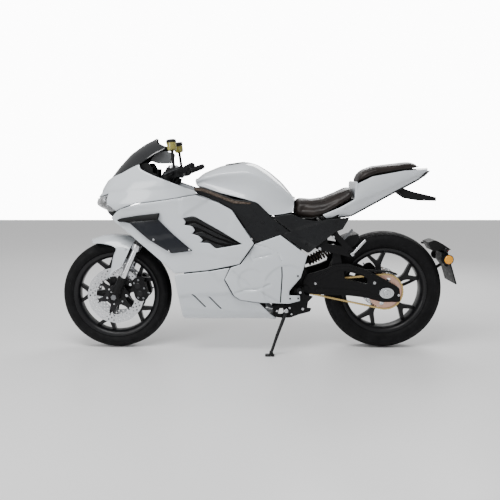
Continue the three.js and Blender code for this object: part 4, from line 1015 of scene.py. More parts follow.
def make_tail():
    outline = rounded([(0.334, 0.725, 0.003), (0.417, 0.760), (0.499, 0.805, 0.010), (0.502, 0.878, 0.010),
                       (0.592, 0.921), (0.761, 0.951), (0.893, 0.957, 0.004), (0.843, 0.908, 0.006),
                       (0.716, 0.844), (0.482, 0.719), (0.353, 0.703, 0.003)])

    def relief(x, z):
        upper = step_line(x, z, (0.430, 0.752), (0.880, 0.944), 0.006)
        return 0.004 * upper

    for side, word in SIDES:
        skin(f"tail_side_{word}", outline, side_surface(side, tail_half_width), WHITE, "chassis",
             "white_paint",
             "tail_cowl" if side == LEFT else (), relief=relief, roll=0.006, thickness=0.004, spacing=0.009,
             flip=side == RIGHT)
        screw = Shape()
        y = side * width_at(tail_half_width, 0.452, 0.760)
        screw.screw((0.452, y, 0.760), (0, side, -0.2), 0.0055, 0.0035)
        screw.to_piece(f"tail_screw_{word}", SILVER, "chassis", "steel")

    def deck(u, x):
        z = eased(x, [0.334, 0.417, 0.501, 0.592, 0.761, 0.898],
                  [0.722, 0.757, 0.848, 0.917, 0.947, 0.954]) \
            - 0.010 * smoothstep(-x, -0.80, -0.60)
        wide = eased(x, TAIL_X, TAIL_HALF) * 0.86
        return np.stack([x, u * wide, z + 0.008 * (1 - u ** 2)], axis=1)

    half = [(0, 0.800), (-0.070, 0.800), (-0.070, 0.884, 0.01), (-0.05, 0.893), (0, 0.895)]
    skin("tail_deck", rounded(mirrored_domain(half), 0.002), stretched(deck, 0.070), WHITE, "chassis",
         "white_paint", roll=0.003, spacing=0.008)

    def underside(u, x):
        z = eased(x, [0.334, 0.482, 0.716, 0.843, 0.895], [0.700, 0.716, 0.840, 0.904, 0.944]) + 0.002
        wide = eased(x, TAIL_X, TAIL_HALF) * 0.80
        return np.stack([x, u * wide, z - 0.004 * (1 - u ** 2)], axis=1)

    half = [(0, 0.345), (-0.10, 0.345), (-0.10, 0.840), (-0.09, 0.868), (0, 0.872)]
    skin("tail_underside", rounded(mirrored_domain(half), 0.004), stretched(underside, 0.10), GRAINED,
         "chassis",
         "black_plastic", roll=0.004, spacing=0.012, flip=True)
    lamp = Shape().prism(rounded([(0.846, 0.912, 0.004), (0.897, 0.952, 0.004), (0.905, 0.950, 0.003),
                                  (0.872, 0.917, 0.006)]), -0.036, 0.036)
    lamp.to_piece("tail_lamp", GLASS_BLACK, "chassis", "lamp", bevel=0.003, segments=3)
    bridge = Shape().prism(rounded([(0.498, 0.802, 0.002), (0.500, 0.888, 0.004), (0.507, 0.896, 0.003),
                                    (0.512, 0.890, 0.003), (0.508, 0.802, 0.002)]), -0.116, 0.116)
    bridge.to_piece("tail_bridge", WHITE, "chassis", "white_paint", bevel=0.002, segments=3)
    bracket = Shape()
    for y in (-0.046, 0.040):
        bracket.prism(rounded([(0.730, 0.840, 0.008), (0.761, 0.860, 0.006), (0.810, 0.842, 0.02),
                               (0.868, 0.829, 0.02), (0.937, 0.812, 0.004), (0.938, 0.792, 0.004),
                               (0.840, 0.794),
                               (0.783, 0.803, 0.010)]), y, y + 0.006)
    bracket.prism(rounded([(0.760, 0.838, 0.004), (0.868, 0.815, 0.004), (0.930, 0.801, 0.003),
                           (0.930, 0.796, 0.003),
                           (0.840, 0.799, 0.003), (0.760, 0.825, 0.004)]), -0.041, 0.041)
    bracket.to_piece("tail_bracket", GRAINED, "chassis", "black_plastic", bevel=0.0015)


def pillow(name, stations, slot, body, replaced, sag, seams):
    """A cushion: a rounded block by stations of (x, top, bottom, half-width), puffed as cloth.

    It is held at its base."""
    keys = [row[0] for row in stations]
    rows, around = 40, 48
    xs = np.linspace(keys[0], keys[-1], rows)
    verts = []
    for i, x in enumerate(xs):
        top, bottom, wide = (float(np.interp(x, keys, [row[k] for row in stations])) for k in (1, 2, 3))
        edge = min(i, rows - 1 - i) / (rows - 1)
        close = (1 - (1 - min(1, edge / 0.07)) ** 2) ** 0.5
        wide *= 0.55 + 0.45 * close
        middle, tall = (top + bottom) / 2, (top - bottom) / 2 * (0.35 + 0.65 * close)
        for k in range(around):
            angle = 2 * math.pi * k / around
            c, s = math.cos(angle), math.sin(angle)
            y = wide * math.copysign(abs(c) ** 0.55, c)
            z = middle + tall * math.copysign(abs(s) ** 0.6, s) - sag * (y / wide) ** 2 * (s > 0)
            verts.append((x, y, z))
    faces = [list(range(around))[::-1], [(rows - 1) * around + k for k in range(around)]]
    for i in range(rows - 1):
        for k in range(around):
            a, b = i * around + k, i * around + (k + 1) % around
            faces.append([a, b, b + around, a + around])
    obj = piece(name, verts, faces, LEATHER, body, slot, replaced, sharp=180)
    puff(obj, keys, stations)
    stitch(name, obj, seams, body, slot)
    return obj


def puff(obj, keys, stations):
    """Remeshes the cushion, fills it as cloth for 20 frames and smooths it once."""
    bpy.context.view_layer.objects.active = obj
    remesh = obj.modifiers.new("remesh", "REMESH")
    remesh.mode = "VOXEL"
    remesh.voxel_size = 0.0055
    remesh.use_smooth_shade = True
    bpy.ops.object.modifier_apply(modifier=remesh.name)
    rest = np.array([tuple(v.co) for v in obj.data.vertices])
    bottoms = np.interp(rest[:, 0], keys, [row[2] for row in stations])
    tops = np.interp(rest[:, 0], keys, [row[1] for row in stations])
    low = [i for i, t in enumerate((rest[:, 2] - bottoms) / (tops - bottoms)) if t < 0.35]
    group = obj.vertex_groups.new(name="base")
    group.add(low, 1.0, "REPLACE")
    cloth = obj.modifiers.new("cloth", "CLOTH")
    settings = cloth.settings
    settings.quality = 6
    settings.use_pressure = True
    settings.uniform_pressure_force = 4
    settings.tension_stiffness = 40
    settings.compression_stiffness = 40
    settings.bending_stiffness = 8
    settings.effector_weights.gravity = 0
    settings.vertex_group_mass = group.name
    scene = bpy.context.scene
    scene.frame_start, scene.frame_end = 1, 20
    for step in range(1, 21):
        scene.frame_set(step)
    shape = obj.evaluated_get(bpy.context.evaluated_depsgraph_get()).data
    moved = np.array([tuple(v.co) for v in shape.vertices])
    obj.modifiers.remove(cloth)
    shift = moved - rest
    length = np.linalg.norm(shift, axis=1)
    limit = 0.006
    shift *= np.minimum(1, limit / np.maximum(length, 1e-9))[:, None]
    obj.data.vertices.foreach_set("co", (rest + shift).ravel())
    obj.data.update()
    scene.frame_set(1)
    smooth = obj.modifiers.new("smooth", "SUBSURF")
    smooth.levels = smooth.render_levels = 1
    bpy.ops.object.modifier_apply(modifier=smooth.name)


def stitch(name, obj, seams, body, slot):
    """A raised seam with its stitches along each path of (x, y) points, dropped on to the cushion."""
    mesh = obj.data
    tree = BVHTree.FromPolygons([v.co for v in mesh.vertices], [p.vertices for p in mesh.polygons])
    seam, thread = Shape(), Shape()
    for path in seams:
        points, _ = smooth_path([(x, y, 0) for x, y in path], 0.0, 12)
        ground = []
        for x, y, _ in points:
            hit, normal, _, _ = tree.ray_cast(Vector((x, y, 1.5)), Vector((0, 0, -1)))
            if hit is not None:
                ground.append(hit + normal * 0.0002)
        seam.tube(ground, 0.0016, 6, 2)
        for a, b in zip(ground, ground[1:]):
            run = b - a
            if run.length > 0.003:
                side = run.cross(Vector((0, 0, 1))).normalized() * 0.0045
                thread.rod(a + run * 0.15 + side, a + run * 0.75 + side, 0.0006, segments=6)
    seam.to_piece(f"{name}_seam", LEATHER, body, slot)
    thread.to_piece(f"{name}_thread", GRAINED, body, slot)


def strap_over(cushion, x):
    """A flat strap laid across the cushion, following its surface."""
    mesh = cushion.data
    tree = BVHTree.FromPolygons([v.co for v in mesh.vertices], [p.vertices for p in mesh.polygons])
    middle = Vector((x, 0, 0.935))
    rows = []
    for turn in np.radians(np.linspace(-12, 192, 45)):
        out = Vector((0, math.cos(turn), math.sin(turn)))
        row = []
        for across, lift in ((-0.0070, -0.0015), (-0.0055, 0.0018), (0.0055, 0.0018), (0.0070, -0.0015)):
            shift = Vector((across, 0, 0))
            hit, _, _, _ = tree.ray_cast(middle + shift + out * 0.3, -out)
            row.append((hit if hit is not None else middle + shift + out * 0.09) + out * lift)
        rows.append(row)
    verts = [v for row in rows for v in row]
    faces = [[i * 4 + k, i * 4 + (k + 1) % 4, (i + 1) * 4 + (k + 1) % 4, (i + 1) * 4 + k]
             for i in range(len(rows) - 1) for k in range(4)]
    last = len(verts) - 4
    faces += [[0, 1, 2, 3], [last + 3, last + 2, last + 1, last]]
    Shape().add(verts, faces).to_piece("pillion_strap", LEATHER, "pillion_pad", "leather")


def make_seats():
    def edges(y, start, stop):
        return [[(start, -y), ((start + stop) / 2, -y * 1.04), (stop, -y)],
                [(start, y), ((start + stop) / 2, y * 1.04), (stop, y)]]

    pillow("seat_cushion", [(0.186, 0.792, 0.716, 0.088), (0.216, 0.803, 0.702, 0.102),
                            (0.284, 0.797, 0.696, 0.116),
                            (0.345, 0.806, 0.714, 0.125), (0.412, 0.833, 0.762, 0.127),
                            (0.470, 0.862, 0.795, 0.120),
                            (0.497, 0.862, 0.812, 0.112)], "leather", "chassis", "rider_seat", 0.010,
           edges(0.088, 0.210, 0.480) + [[(0.330, -0.105), (0.322, 0.0), (0.330, 0.105)]])
    pillion = pillow("pillion_cushion", [(0.513, 0.908, 0.884, 0.086), (0.524, 0.934, 0.888, 0.094),
                                         (0.556, 0.960, 0.904, 0.100),
                               (0.610, 0.976, 0.926, 0.097), (0.703, 0.985, 0.944, 0.087),
                               (0.790, 0.997, 0.956, 0.073), (0.834, 0.986, 0.972, 0.058)],
           "leather", "pillion_pad", "pillion_seat", 0.008,
           edges(0.070, 0.540, 0.800) + [[(0.585, -0.088), (0.578, 0.0), (0.585, 0.088)]])
    strap_over(pillion, 0.601)
    base = Shape().prism(rounded([(0.512, 0.886), (0.592, 0.925), (0.761, 0.957), (0.836, 0.975),
                                  (0.836, 0.970),
                                  (0.761, 0.950), (0.592, 0.917), (0.520, 0.880)], 0.002), -0.060, 0.060)
    base.to_piece("pillion_base", GRAINED, "pillion_pad", "black_plastic", bevel=0.001)


# ------------------------------------------------------------------ wheels, tyres and brakes
def make_tyre(name, body, replaced, axle, radius, half_width, rim_half, bead):
    """A tyre with its tread cut as grooves in a fine grid turned about the axle."""
    around, across = 480, 46
    us = np.linspace(0, 1, across)
    crown = radius - 0.0005
    shoulder = [(bead, rim_half - 0.007), (bead + 0.014, rim_half - 0.004),
                (bead + 0.030, half_width * 0.97),
                (radius * 0.885, half_width), (radius * 0.945, half_width * 0.84),
                (radius * 0.985, half_width * 0.52),
                (crown, half_width * 0.2), (crown + 0.0005, 0)]
    half = shoulder + [(r, -y) for r, y in shoulder[-2::-1]]
    way = np.concatenate([[0], np.cumsum([math.dist(a, b) for a, b in zip(half, half[1:])])])
    rs = np.interp(us * way[-1], way, [p[0] for p in half])
    ys = np.interp(us * way[-1], way, [p[1] for p in half])
    rs[1:-1] = (rs[:-2] + 2 * rs[1:-1] + rs[2:]) / 4
    angle = np.linspace(0, 2 * math.pi, around, endpoint=False)[:, None]
    y = ys[None, :]
    tread = np.clip((rs[None, :] - radius * 0.915) / (radius * 0.02), 0, 1)
    sweep = np.abs(y) / half_width
    phase = angle * 26 + sweep * 3.2 + np.where(y > 0, math.pi * 0.6, 0)
    slash = np.clip(1 - np.abs(np.sin(phase / 2)) / 0.11, 0, 1) * ((sweep > 0.16) & (sweep < 0.80))
    short = np.clip(1 - np.abs(np.sin(phase / 2 + 1.3)) / 0.09, 0, 1) * ((sweep > 0.45) & (sweep < 0.92))
    ring = np.clip(1 - np.abs(np.abs(y) - half_width * 0.08) / 0.0022, 0, 1) * (radius > 0.3)
    letters = 0.0006 * ((np.abs(rs - (bead + 0.046)) < 0.002)
                        | (np.abs(rs - (bead + 0.026)) < 0.0015))[None, :]
    depth = 0.0045 * tread * np.maximum(np.maximum(slash, short), ring * 0.8)
    r = rs[None, :] - depth + letters + 0 * angle
    verts = np.stack([axle.x + r * np.cos(angle), y + 0 * angle, axle.z + r * np.sin(angle)], axis=2)
    inner = [(bead, -rim_half + 0.012), (radius - 0.014, -half_width + 0.014),
             (radius - 0.010, half_width - 0.014),
             (bead, rim_half - 0.012)]
    inside_ring = [np.stack([axle.x + q * np.cos(angle[:, 0]), 0 * angle[:, 0] + w,
                             axle.z + q * np.sin(angle[:, 0])],
                            axis=1) for q, w in inner]
    grid = np.concatenate([verts, np.stack(inside_ring, axis=1)], axis=1)
    rows = grid.shape[1]
    faces = []
    for i in range(around):
        a, b = i * rows, ((i + 1) % around) * rows
        faces.extend([a + j, b + j, b + (j + 1) % rows, a + (j + 1) % rows] for j in range(rows))
    piece(name, grid.reshape(-1, 3), faces, RUBBER, body, "tyre", replaced, sharp=42)


def around(centre, radius, angle):
    return centre.x + radius * math.cos(angle), centre.z + radius * math.sin(angle)


def make_rim(name, body, replaced, axle, half, hub_low, hub_high, bore, phase):
    shape = Shape()
    edge = [(0.199, half * 0.45), (0.203, half * 0.72), (0.212, half - 0.004), (0.222, half + 0.0005),
            (0.2275, half + 0.001), (0.2285, half - 0.0015), (0.227, half - 0.004), (0.216, half - 0.0062)]
    inner = [(0.213, half - 0.012), (0.213, -half + 0.012)]
    profile = edge + inner + [(r, -y) for r, y in reversed(edge)]
    shape.lathe([(r, y) for r, y in profile], (axle.x, 0, axle.z), (0, 1, 0), 96)
    hub = [(bore, hub_low), (0.030, hub_low), (0.036, hub_low + 0.010), (0.034, hub_low + 0.022),
           (0.046, -0.020),
           (0.046, 0.020), (0.034, hub_high - 0.022), (0.036, hub_high - 0.010), (0.030, hub_high),
           (bore, hub_high)]
    shape.lathe(hub, (axle.x, 0, axle.z), (0, 1, 0), 48)
    rim = shape.to_piece(name, BLACK_METAL, body, "black_wheel", replaced, sharp=40)
    spokes = Shape()
    for i in range(5):
        angle = phase + i * 2 * math.pi / 5
        fork = math.radians(13)

        def at(r, turn, width):
            return (axle.x + r * math.cos(angle + turn) - width * math.sin(angle + turn),
                    axle.z + r * math.sin(angle + turn) + width * math.cos(angle + turn))

        outline = rounded([(*at(0.036, 0, -0.021), 0.004), (*at(0.130, 0, -0.0115), 0.02),
                           (*at(0.206, -fork, -0.010), 0.004), (*at(0.206, -fork, 0.008), 0.004),
                           (*at(0.156, 0, 0), 0.010), (*at(0.206, fork, -0.008), 0.004),
                           (*at(0.206, fork, 0.010), 0.004), (*at(0.130, 0, 0.0115), 0.02),
                           (*at(0.036, 0, 0.021), 0.004)])
        spokes.prism(outline, -0.014, 0.014)
        groove = rounded([(*at(0.062, 0, -0.007), 0.003), (*at(0.128, 0, -0.004), 0.003),
                          (*at(0.128, 0, 0.004), 0.003),
                          (*at(0.062, 0, 0.007), 0.003)])
        for low, high in ((-0.0165, -0.0135), (0.0135, 0.0165)):
            spokes.prism(groove, low, high)
    spokes.to_piece(f"{name}_spokes", BLACK_METAL, body, "black_wheel", bevel=0.0035, segments=3)
    return rim


def make_disc(name, body, replaced, axle, radius, band, low, high, hub_radius, rows):
    """A drilled brake rotor on a black spider, with bright rivets between the two."""
    outer = [around(axle, radius - 0.0018 * (1 - math.cos(12 * a)) / 2, a)
             for a in np.linspace(0, 2 * math.pi, 240)[:-1]]
    inner = [around(axle, band, a) for a in np.linspace(0, 2 * math.pi, 90)[:-1]]
    holes = [inner]
    for r, count, turn in rows:
        for i in range(count):
            x, z = around(axle, r, (i + turn) * 2 * math.pi / count)
            holes.append([(x + 0.0042 * math.cos(t), z + 0.0042 * math.sin(t))
                          for t in np.linspace(0, 2 * math.pi, 11)[:-1]])
    rotor = Shape().prism(outer, low, high, holes)
    rotor.to_piece(name, SILVER, body, "steel", replaced, sharp=35)
    spider = Shape()
    middle = (low + high) / 2
    for i in range(6):
        angle = i * math.pi / 3 + 0.3
        reach = band + 0.004

        def at(r, turn):
            return around(axle, r, angle + turn)

        spider.prism(rounded([(*at(hub_radius + 0.012, -0.55), 0.004), (*at(reach * 0.75, -0.12), 0.01),
                              (*at(reach, -0.11), 0.004), (*at(reach, 0.11), 0.004),
                              (*at(reach * 0.75, 0.12), 0.01),
                              (*at(hub_radius + 0.012, 0.55), 0.004)]), middle - 0.0034, middle + 0.0034)
    spider.lathe([(hub_radius, middle - 0.0045), (hub_radius + 0.022, middle - 0.0045),
                  (hub_radius + 0.022, middle + 0.0045), (hub_radius, middle + 0.0045)],
                 (axle.x, 0, axle.z), (0, 1, 0), 48)
    spider.to_piece(f"{name}_spider", BLACK_METAL, body, "black_metal", bevel=0.001)
    rivets = Shape()
    for i in range(6):
        x, z = around(axle, band + 0.0005, i * math.pi / 3 + 0.3)
        rivets.disc((x, 0, z), (0, 1, 0), 0.0075, low - 0.0018, high + 0.0018, segments=20)
        x, z = around(axle, hub_radius + 0.013, i * math.pi / 3 + 0.3)
        out = 1 if middle > 0 else -1
        rivets.screw((x, middle + out * 0.004, z), (0, out, 0), 0.0052, 0.004)
    rivets.to_piece(f"{name}_rivets", SILVER, body, "steel")


def make_caliper(name, body, replaced, side, centre, angle, low, high, gap):
    """A two-half caliper with a slot for the rotor, bridge bolts and pad pins."""
    turn = Matrix.Translation((centre[0], 0, centre[1])) @ Matrix.Rotation(angle, 4, "Y")
    outline = rounded([(-0.064, -0.014, 0.010), (-0.040, -0.034, 0.012), (0.040, -0.034, 0.012),
                       (0.064, -0.014, 0.010), (0.064, 0.020, 0.010), (0.044, 0.035, 0.012),
                       (-0.044, 0.035, 0.012),
                       (-0.064, 0.020, 0.010)])
    bridge = rounded([(-0.050, 0.014, 0.006), (0.050, 0.014, 0.006), (0.046, 0.034, 0.008),
                      (-0.046, 0.034, 0.008)])
    shape = Shape()

    def across(y):
        return side * y

    def slab(shape_outline, a, b, to=turn):
        lo, hi = sorted((across(a), across(b)))
        shape.prism(shape_outline, lo, hi, to=to)

    slab(outline, low, gap[0])
    slab(outline, gap[1], high)
    slab(bridge, gap[0], gap[1])
    shape.to_piece(name, CAST, body, "black_metal", replaced, bevel=0.003, segments=3)
    details = Shape()
    caps = Shape()
    out = across(high)
    for x in (-0.022, 0.022):
        caps.lathe([(0, 0), (0.0155, 0), (0.0155, 0.0015), (0.0135, 0.003), (0.006, 0.0034), (0, 0.0034)],
                      turn @ Vector((x, out, -0.004)), (0, side, 0), 28)
    for x, z in ((-0.050, 0.008), (0.050, 0.008), (0.0, 0.026), (-0.040, -0.018), (0.040, -0.018)):
        details.screw(turn @ Vector((x, out, z)), (0, side, 0), 0.0058, 0.005)
    details.rod(turn @ Vector((0.030, across(high - 0.010), 0.034)),
                turn @ Vector((0.034, across(high - 0.010), 0.048)), 0.0035)
    details.to_piece(f"{name}_bolts", STEEL, body, "steel")
    caps.to_piece(f"{name}_caps", BLACK_METAL, body, "black_metal")


def make_front_wheel():
    make_tyre("front_tread", "front_wheel", "front_tyre", FRONT_AXLE, 0.291, 0.055, 0.047, 0.215)
    make_rim("front_wheel_casting", "front_wheel", "front_rim", FRONT_AXLE, 0.047, -0.0575, 0.0575, 0.0104,
             math.radians(-37))
    rows = [(0.112, 30, 0), (0.124, 30, 0.5), (0.136, 30, 0)]
    for side, word in SIDES:
        low, high = span(side, 0.058, 0.063)
        make_disc(f"front_rotor_{word}", "front_wheel", f"front_disc_{word}", FRONT_AXLE, 0.150, 0.103, low,
                  high,
                  0.034, rows)
        make_caliper(f"front_brake_{word}", "fork_sliders", f"front_caliper_{word}", side, (-0.626, 0.327),
                     math.radians(75), 0.042, 0.090, (0.056, 0.065))


def toothed(teeth, pitch_radius, tip, root, centre):
    points = []
    for i in range(teeth):
        for part, radius in ((-0.5, root), (-0.30, root + 0.0005), (-0.12, tip), (0.12, tip),
                             (0.30, root + 0.0005)):
            points.append(around(centre, pitch_radius + radius, (i + part) * 2 * math.pi / teeth))
    return points


def make_rear_wheel():
    make_tyre("rear_tread", "rear_wheel", "rear_tyre", REAR_AXLE, 0.315, 0.068, 0.058, 0.215)
    make_rim("rear_wheel_casting", "rear_wheel", "rear_rim", REAR_AXLE, 0.058, -0.076, 0.078, 0.0124,
             math.radians(29))
    make_disc("rear_rotor", "rear_wheel", "rear_disc", REAR_AXLE, 0.110, 0.078, 0.079, 0.084, 0.036,
              [(0.086, 24, 0), (0.095, 24, 0.5), (0.103, 24, 0)])
    make_caliper("rear_brake", "rear_arm", "rear_caliper", RIGHT, (0.595, 0.388), math.radians(-47), 0.071,
                 0.094,
                 (0.077, 0.086))
    holes = []
    for i in range(6):
        x, z = around(REAR_AXLE, 0.064, i * math.pi / 3 + 0.26)
        holes.append(circle(x, z, 0.0115, 20))
        x, z = around(REAR_AXLE, 0.046, i * math.pi / 3 - 0.26)
        holes.append(circle(x, z, 0.0060, 14))
    holes.append(ring_round(REAR_AXLE, 0.026, 40))
    ring = Shape().prism(toothed(TEETH_REAR, 0.0920, 0.0030, -0.0045, REAR_AXLE), -0.0835, -0.0785, holes)
    ring.to_piece("rear_chainwheel", COPPER, "rear_wheel", "sprocket_metal", "rear_sprocket", bevel=0.0006)
    nuts = Shape()
    for i in range(6):
        x, z = around(REAR_AXLE, 0.046, i * math.pi / 3 + 0.26)
        nuts.screw((x, -0.0835, z), (0, -1, 0), 0.0065, 0.006)
    nuts.to_piece("chainwheel_nuts", STEEL, "rear_wheel", "steel")
    carrier = Shape().disc((REAR_AXLE.x, 0, REAR_AXLE.z), (0, 1, 0), 0.056, -0.0783, -0.062, 0.0124)
    carrier.to_piece("chainwheel_carrier", BLACK_METAL, "rear_wheel", "black_wheel")


# ------------------------------------------------------------------ chain
def loop_shape(radius_front, radius_rear):
    """Half the angle that the chain wraps at the rear, and the length of one straight run."""
    run = math.hypot(REAR_AXLE.x - PIVOT.x, REAR_AXLE.z - PIVOT.z)
    spread = math.acos((radius_front - radius_rear) / run)
    return spread, math.sqrt(run ** 2 - (radius_rear - radius_front) ** 2)


def loop_point(way, radius_front, radius_rear):
    """A point of the chain's pitch line by distance along it, with its heading."""
    lean = math.atan2(REAR_AXLE.z - PIVOT.z, REAR_AXLE.x - PIVOT.x)
    spread, straight = loop_shape(radius_front, radius_rear)
    rear_arc, front_arc = radius_rear * 2 * spread, radius_front * (2 * math.pi - 2 * spread)
    way %= 2 * straight + rear_arc + front_arc
    if way < rear_arc:
        angle = lean - spread + way / radius_rear
        return Vector((*around(REAR_AXLE, radius_rear, angle),)), angle + math.pi / 2
    way -= rear_arc
    end = Vector(around(REAR_AXLE, radius_rear, lean + spread))
    start = Vector(around(PIVOT, radius_front, lean + spread))
    if way < straight:
        heading = start - end
        return end.lerp(start, way / straight), math.atan2(heading.y, heading.x)
    way -= straight
    if way < front_arc:
        angle = lean + spread + way / radius_front
        return Vector(around(PIVOT, radius_front, angle)), angle + math.pi / 2
    way -= front_arc
    start = Vector(around(PIVOT, radius_front, lean - spread))
    end = Vector(around(REAR_AXLE, radius_rear, lean - spread))
    heading = end - start
    return start.lerp(end, way / straight), math.atan2(heading.y, heading.x)


def loop_length(radius_front, radius_rear):
    spread, straight = loop_shape(radius_front, radius_rear)
    return 2 * straight + radius_rear * 2 * spread + radius_front * (2 * math.pi - 2 * spread)


def make_chain():
    front, rear = 0.0285, 0.0930
    total = loop_length(front, rear)
    count = 2 * round(total / CHAIN_PITCH / 2)
    pitch = total / count
    y = -0.081
    plates, rollers = Shape(), Shape()
    for i in range(count):
        (x0, z0), _ = loop_point(i * pitch, front, rear)
        (x1, z1), _ = loop_point((i + 1) * pitch, front, rear)
        middle = Vector(((x0 + x1) / 2, y, (z0 + z1) / 2))
        turn = Matrix.Translation(middle) @ Matrix.Rotation(-math.atan2(z1 - z0, x1 - x0), 4, "Y")
        half, tall = pitch / 2, 0.0048
        outline = []
        for sign in (1, -1):
            for t in np.linspace(-math.pi / 2, math.pi / 2, 7):
                outline.append((sign * (half + tall * math.cos(t)), sign * tall * math.sin(t)))
            outline.append((0, sign * tall * 0.72))
        inner = i % 2 == 0
        out = 0.0050 if inner else 0.0066
        for sign in (-1, 1):
            plates.prism(outline, *span(sign, out, out + 0.0014), to=turn)
        rollers.disc((x0, y, z0), (0, 1, 0), 0.0040, -0.0046, 0.0046, segments=10)
        rollers.disc((x0, y, z0), (0, 1, 0), 0.0019, -0.0086, 0.0086, segments=8)
    plates.to_piece("chain_plates", GOLD, "rear_arm", "chain_gold", "chain", sharp=35)
    rollers.to_piece("chain_rollers", GOLD, "rear_arm", "chain_gold", sharp=35)
    drive = Shape().prism(toothed(TEETH_DRIVE, 0.0275, 0.0026, -0.0040, PIVOT), -0.0840, -0.0780,
                          [ring_round(PIVOT, 0.009, 24)])
    drive.disc((PIVOT.x, 0, PIVOT.z), (0, 1, 0), 0.016, -0.0775, -0.0645)
    drive.to_piece("drive_chainwheel", STEEL, "drive", "sprocket_metal", "drive_sprocket", bevel=0.0005)


# ------------------------------------------------------------------ fork, fender and steering
FORK_FRAME = Matrix.Translation(FRONT_AXLE) @ Matrix.Rotation(RAKE, 4, "Y")


def make_fork():
    for side, word in SIDES:
        y = side * LEG_Y
        base = FORK_FRAME @ Vector((0, y, 0))
        upper = Shape()
        upper.lathe([(0.0172, 0.277), (0.0205, 0.277), (0.0222, 0.281), (0.0222, 0.318), (0.0212, 0.322),
                     (0.0216, 0.560), (0.0222, 0.720), (0.0222, 0.742), (0.0172, 0.742)], base, FORK_UP, 40)
        upper.to_piece(f"fork_outer_{word}", SATIN, "steering", "black_metal", f"fork_tube_{word}")
        seal = Shape().lathe([(0.0172, 0.270), (0.0215, 0.271), (0.0236, 0.276), (0.0236, 0.300),
                              (0.0225, 0.304),
                              (0.0222, 0.304), (0.0222, 0.277), (0.0172, 0.277)], base, FORK_UP, 40)
        seal.to_piece(f"fork_collar_{word}", SILVER, "steering", "steel")
        cap = Shape()
        cap.lathe([(0, 0.742), (0.0215, 0.742), (0.0215, 0.748), (0.0185, 0.751), (0.0125, 0.752),
                   (0.0115, 0.7525),
                   (0.0115, 0.757), (0.006, 0.758), (0.005, 0.754), (0, 0.754)], base, FORK_UP, 36)
        cap.to_piece(f"fork_cap_{word}", CHROME, "steering", "steel")
        stanchion = Shape().lathe([(0, 0.100), (0.0164, 0.100), (0.0164, 0.500), (0, 0.505)], base, FORK_UP,
                                  40)
        stanchion.to_piece(f"stanchion_{word}", CHROME, "fork_sliders", "steel", f"fork_lower_{word}")
        casting = Shape()
        casting.lathe([(0, -0.034), (0.014, -0.034), (0.019, -0.028), (0.0235, -0.016), (0.0240, 0.050),
                       (0.0225, 0.098),
                       (0.0240, 0.104), (0.0225, 0.112), (0.0168, 0.114), (0.0168, 0.090), (0, 0.090)], base,
                      FORK_UP, 40)
        low, high = sorted((y - 0.022, y + 0.022))
        casting.disc((FRONT_AXLE.x, 0, FRONT_AXLE.z), (0, 1, 0), 0.027, low, high, 0.0102, 0.002)
        to_fork = FORK_FRAME
        lug_low, lug_high = span(side, 0.082, 0.096)
        casting.prism(rounded([(0.012, 0.016, 0.006), (0.062, 0.018, 0.012), (0.067, 0.046, 0.010),
                               (0.016, 0.068, 0.008)]), lug_low, lug_high, to=to_fork)
        casting.prism(rounded([(-0.004, 0.086, 0.006), (0.058, 0.084, 0.012), (0.060, 0.104, 0.010),
                               (-0.004, 0.110, 0.008)]), lug_low, lug_high, to=to_fork)
        casting.to_piece(f"fork_casting_{word}", CAST, "fork_sliders", "black_metal", bevel=0.0012, sharp=38)
        bolts = Shape()
        for x, z in ((0.056, 0.032), (0.050, 0.094)):
            bolts.screw(to_fork @ Vector((x, side * 0.096, z)), (0, side, 0), 0.0075, 0.006)
        for z in (-0.014, 0.014):
            bolts.screw(to_fork @ Vector((-0.024, side * 0.090, z)), (-0.9, 0, -0.42), 0.005, 0.005)
        bolts.to_piece(f"fork_bolts_{word}", SILVER, "fork_sliders", "steel")
    axle = Shape()
    axle.rod((FRONT_AXLE.x, -0.128, FRONT_AXLE.z), (FRONT_AXLE.x, 0.128, FRONT_AXLE.z), 0.0100, segments=28)
    axle.disc((FRONT_AXLE.x, 0, FRONT_AXLE.z), (0, 1, 0), 0.0155, -0.1285, -0.1222, segments=6, edge=0.0015)
    axle.disc((FRONT_AXLE.x, 0, FRONT_AXLE.z), (0, 1, 0), 0.0155, 0.1222, 0.1285, segments=6, edge=0.0015)
    axle.to_piece("front_spindle", STEEL, "fork_sliders", "steel", "front_axle")


def fender_surface(turn, x_angle):
    """The fender over the front tyre: turn runs across the tyre, x_angle round the axle."""
    wide = np.interp(np.abs(turn), [0, 0.042, 0.088, 0.128, 0.185, 0.360],
                     [0, 0.042, 0.082, 0.112, 0.114, 0.115])
    high = np.interp(np.abs(turn), [0, 0.042, 0.088, 0.128, 0.185, 0.360],
                     [0.322, 0.317, 0.300, 0.262, 0.205, 0.045])
    return np.stack([FRONT_AXLE.x + high * np.cos(x_angle), np.sign(turn) * wide,
                     FRONT_AXLE.z + high * np.sin(x_angle)], axis=1)


def smooth_fender(turn, x_angle):
    spread = np.linspace(-0.012, 0.012, 5)
    rows = [fender_surface(np.abs(turn) + d, x_angle) for d in spread]
    mean = sum(rows) / len(rows)
    mean[:, 1] = np.sign(turn) * np.abs(mean[:, 1]) * np.clip(np.abs(turn) / 0.012, 0, 1)
    return mean


def fender_turn(radius):
    return float(np.interp(-radius, [-0.322, -0.317, -0.300, -0.262, -0.205, -0.045],
                           [0, 0.042, 0.088, 0.128, 0.185, 0.360]))


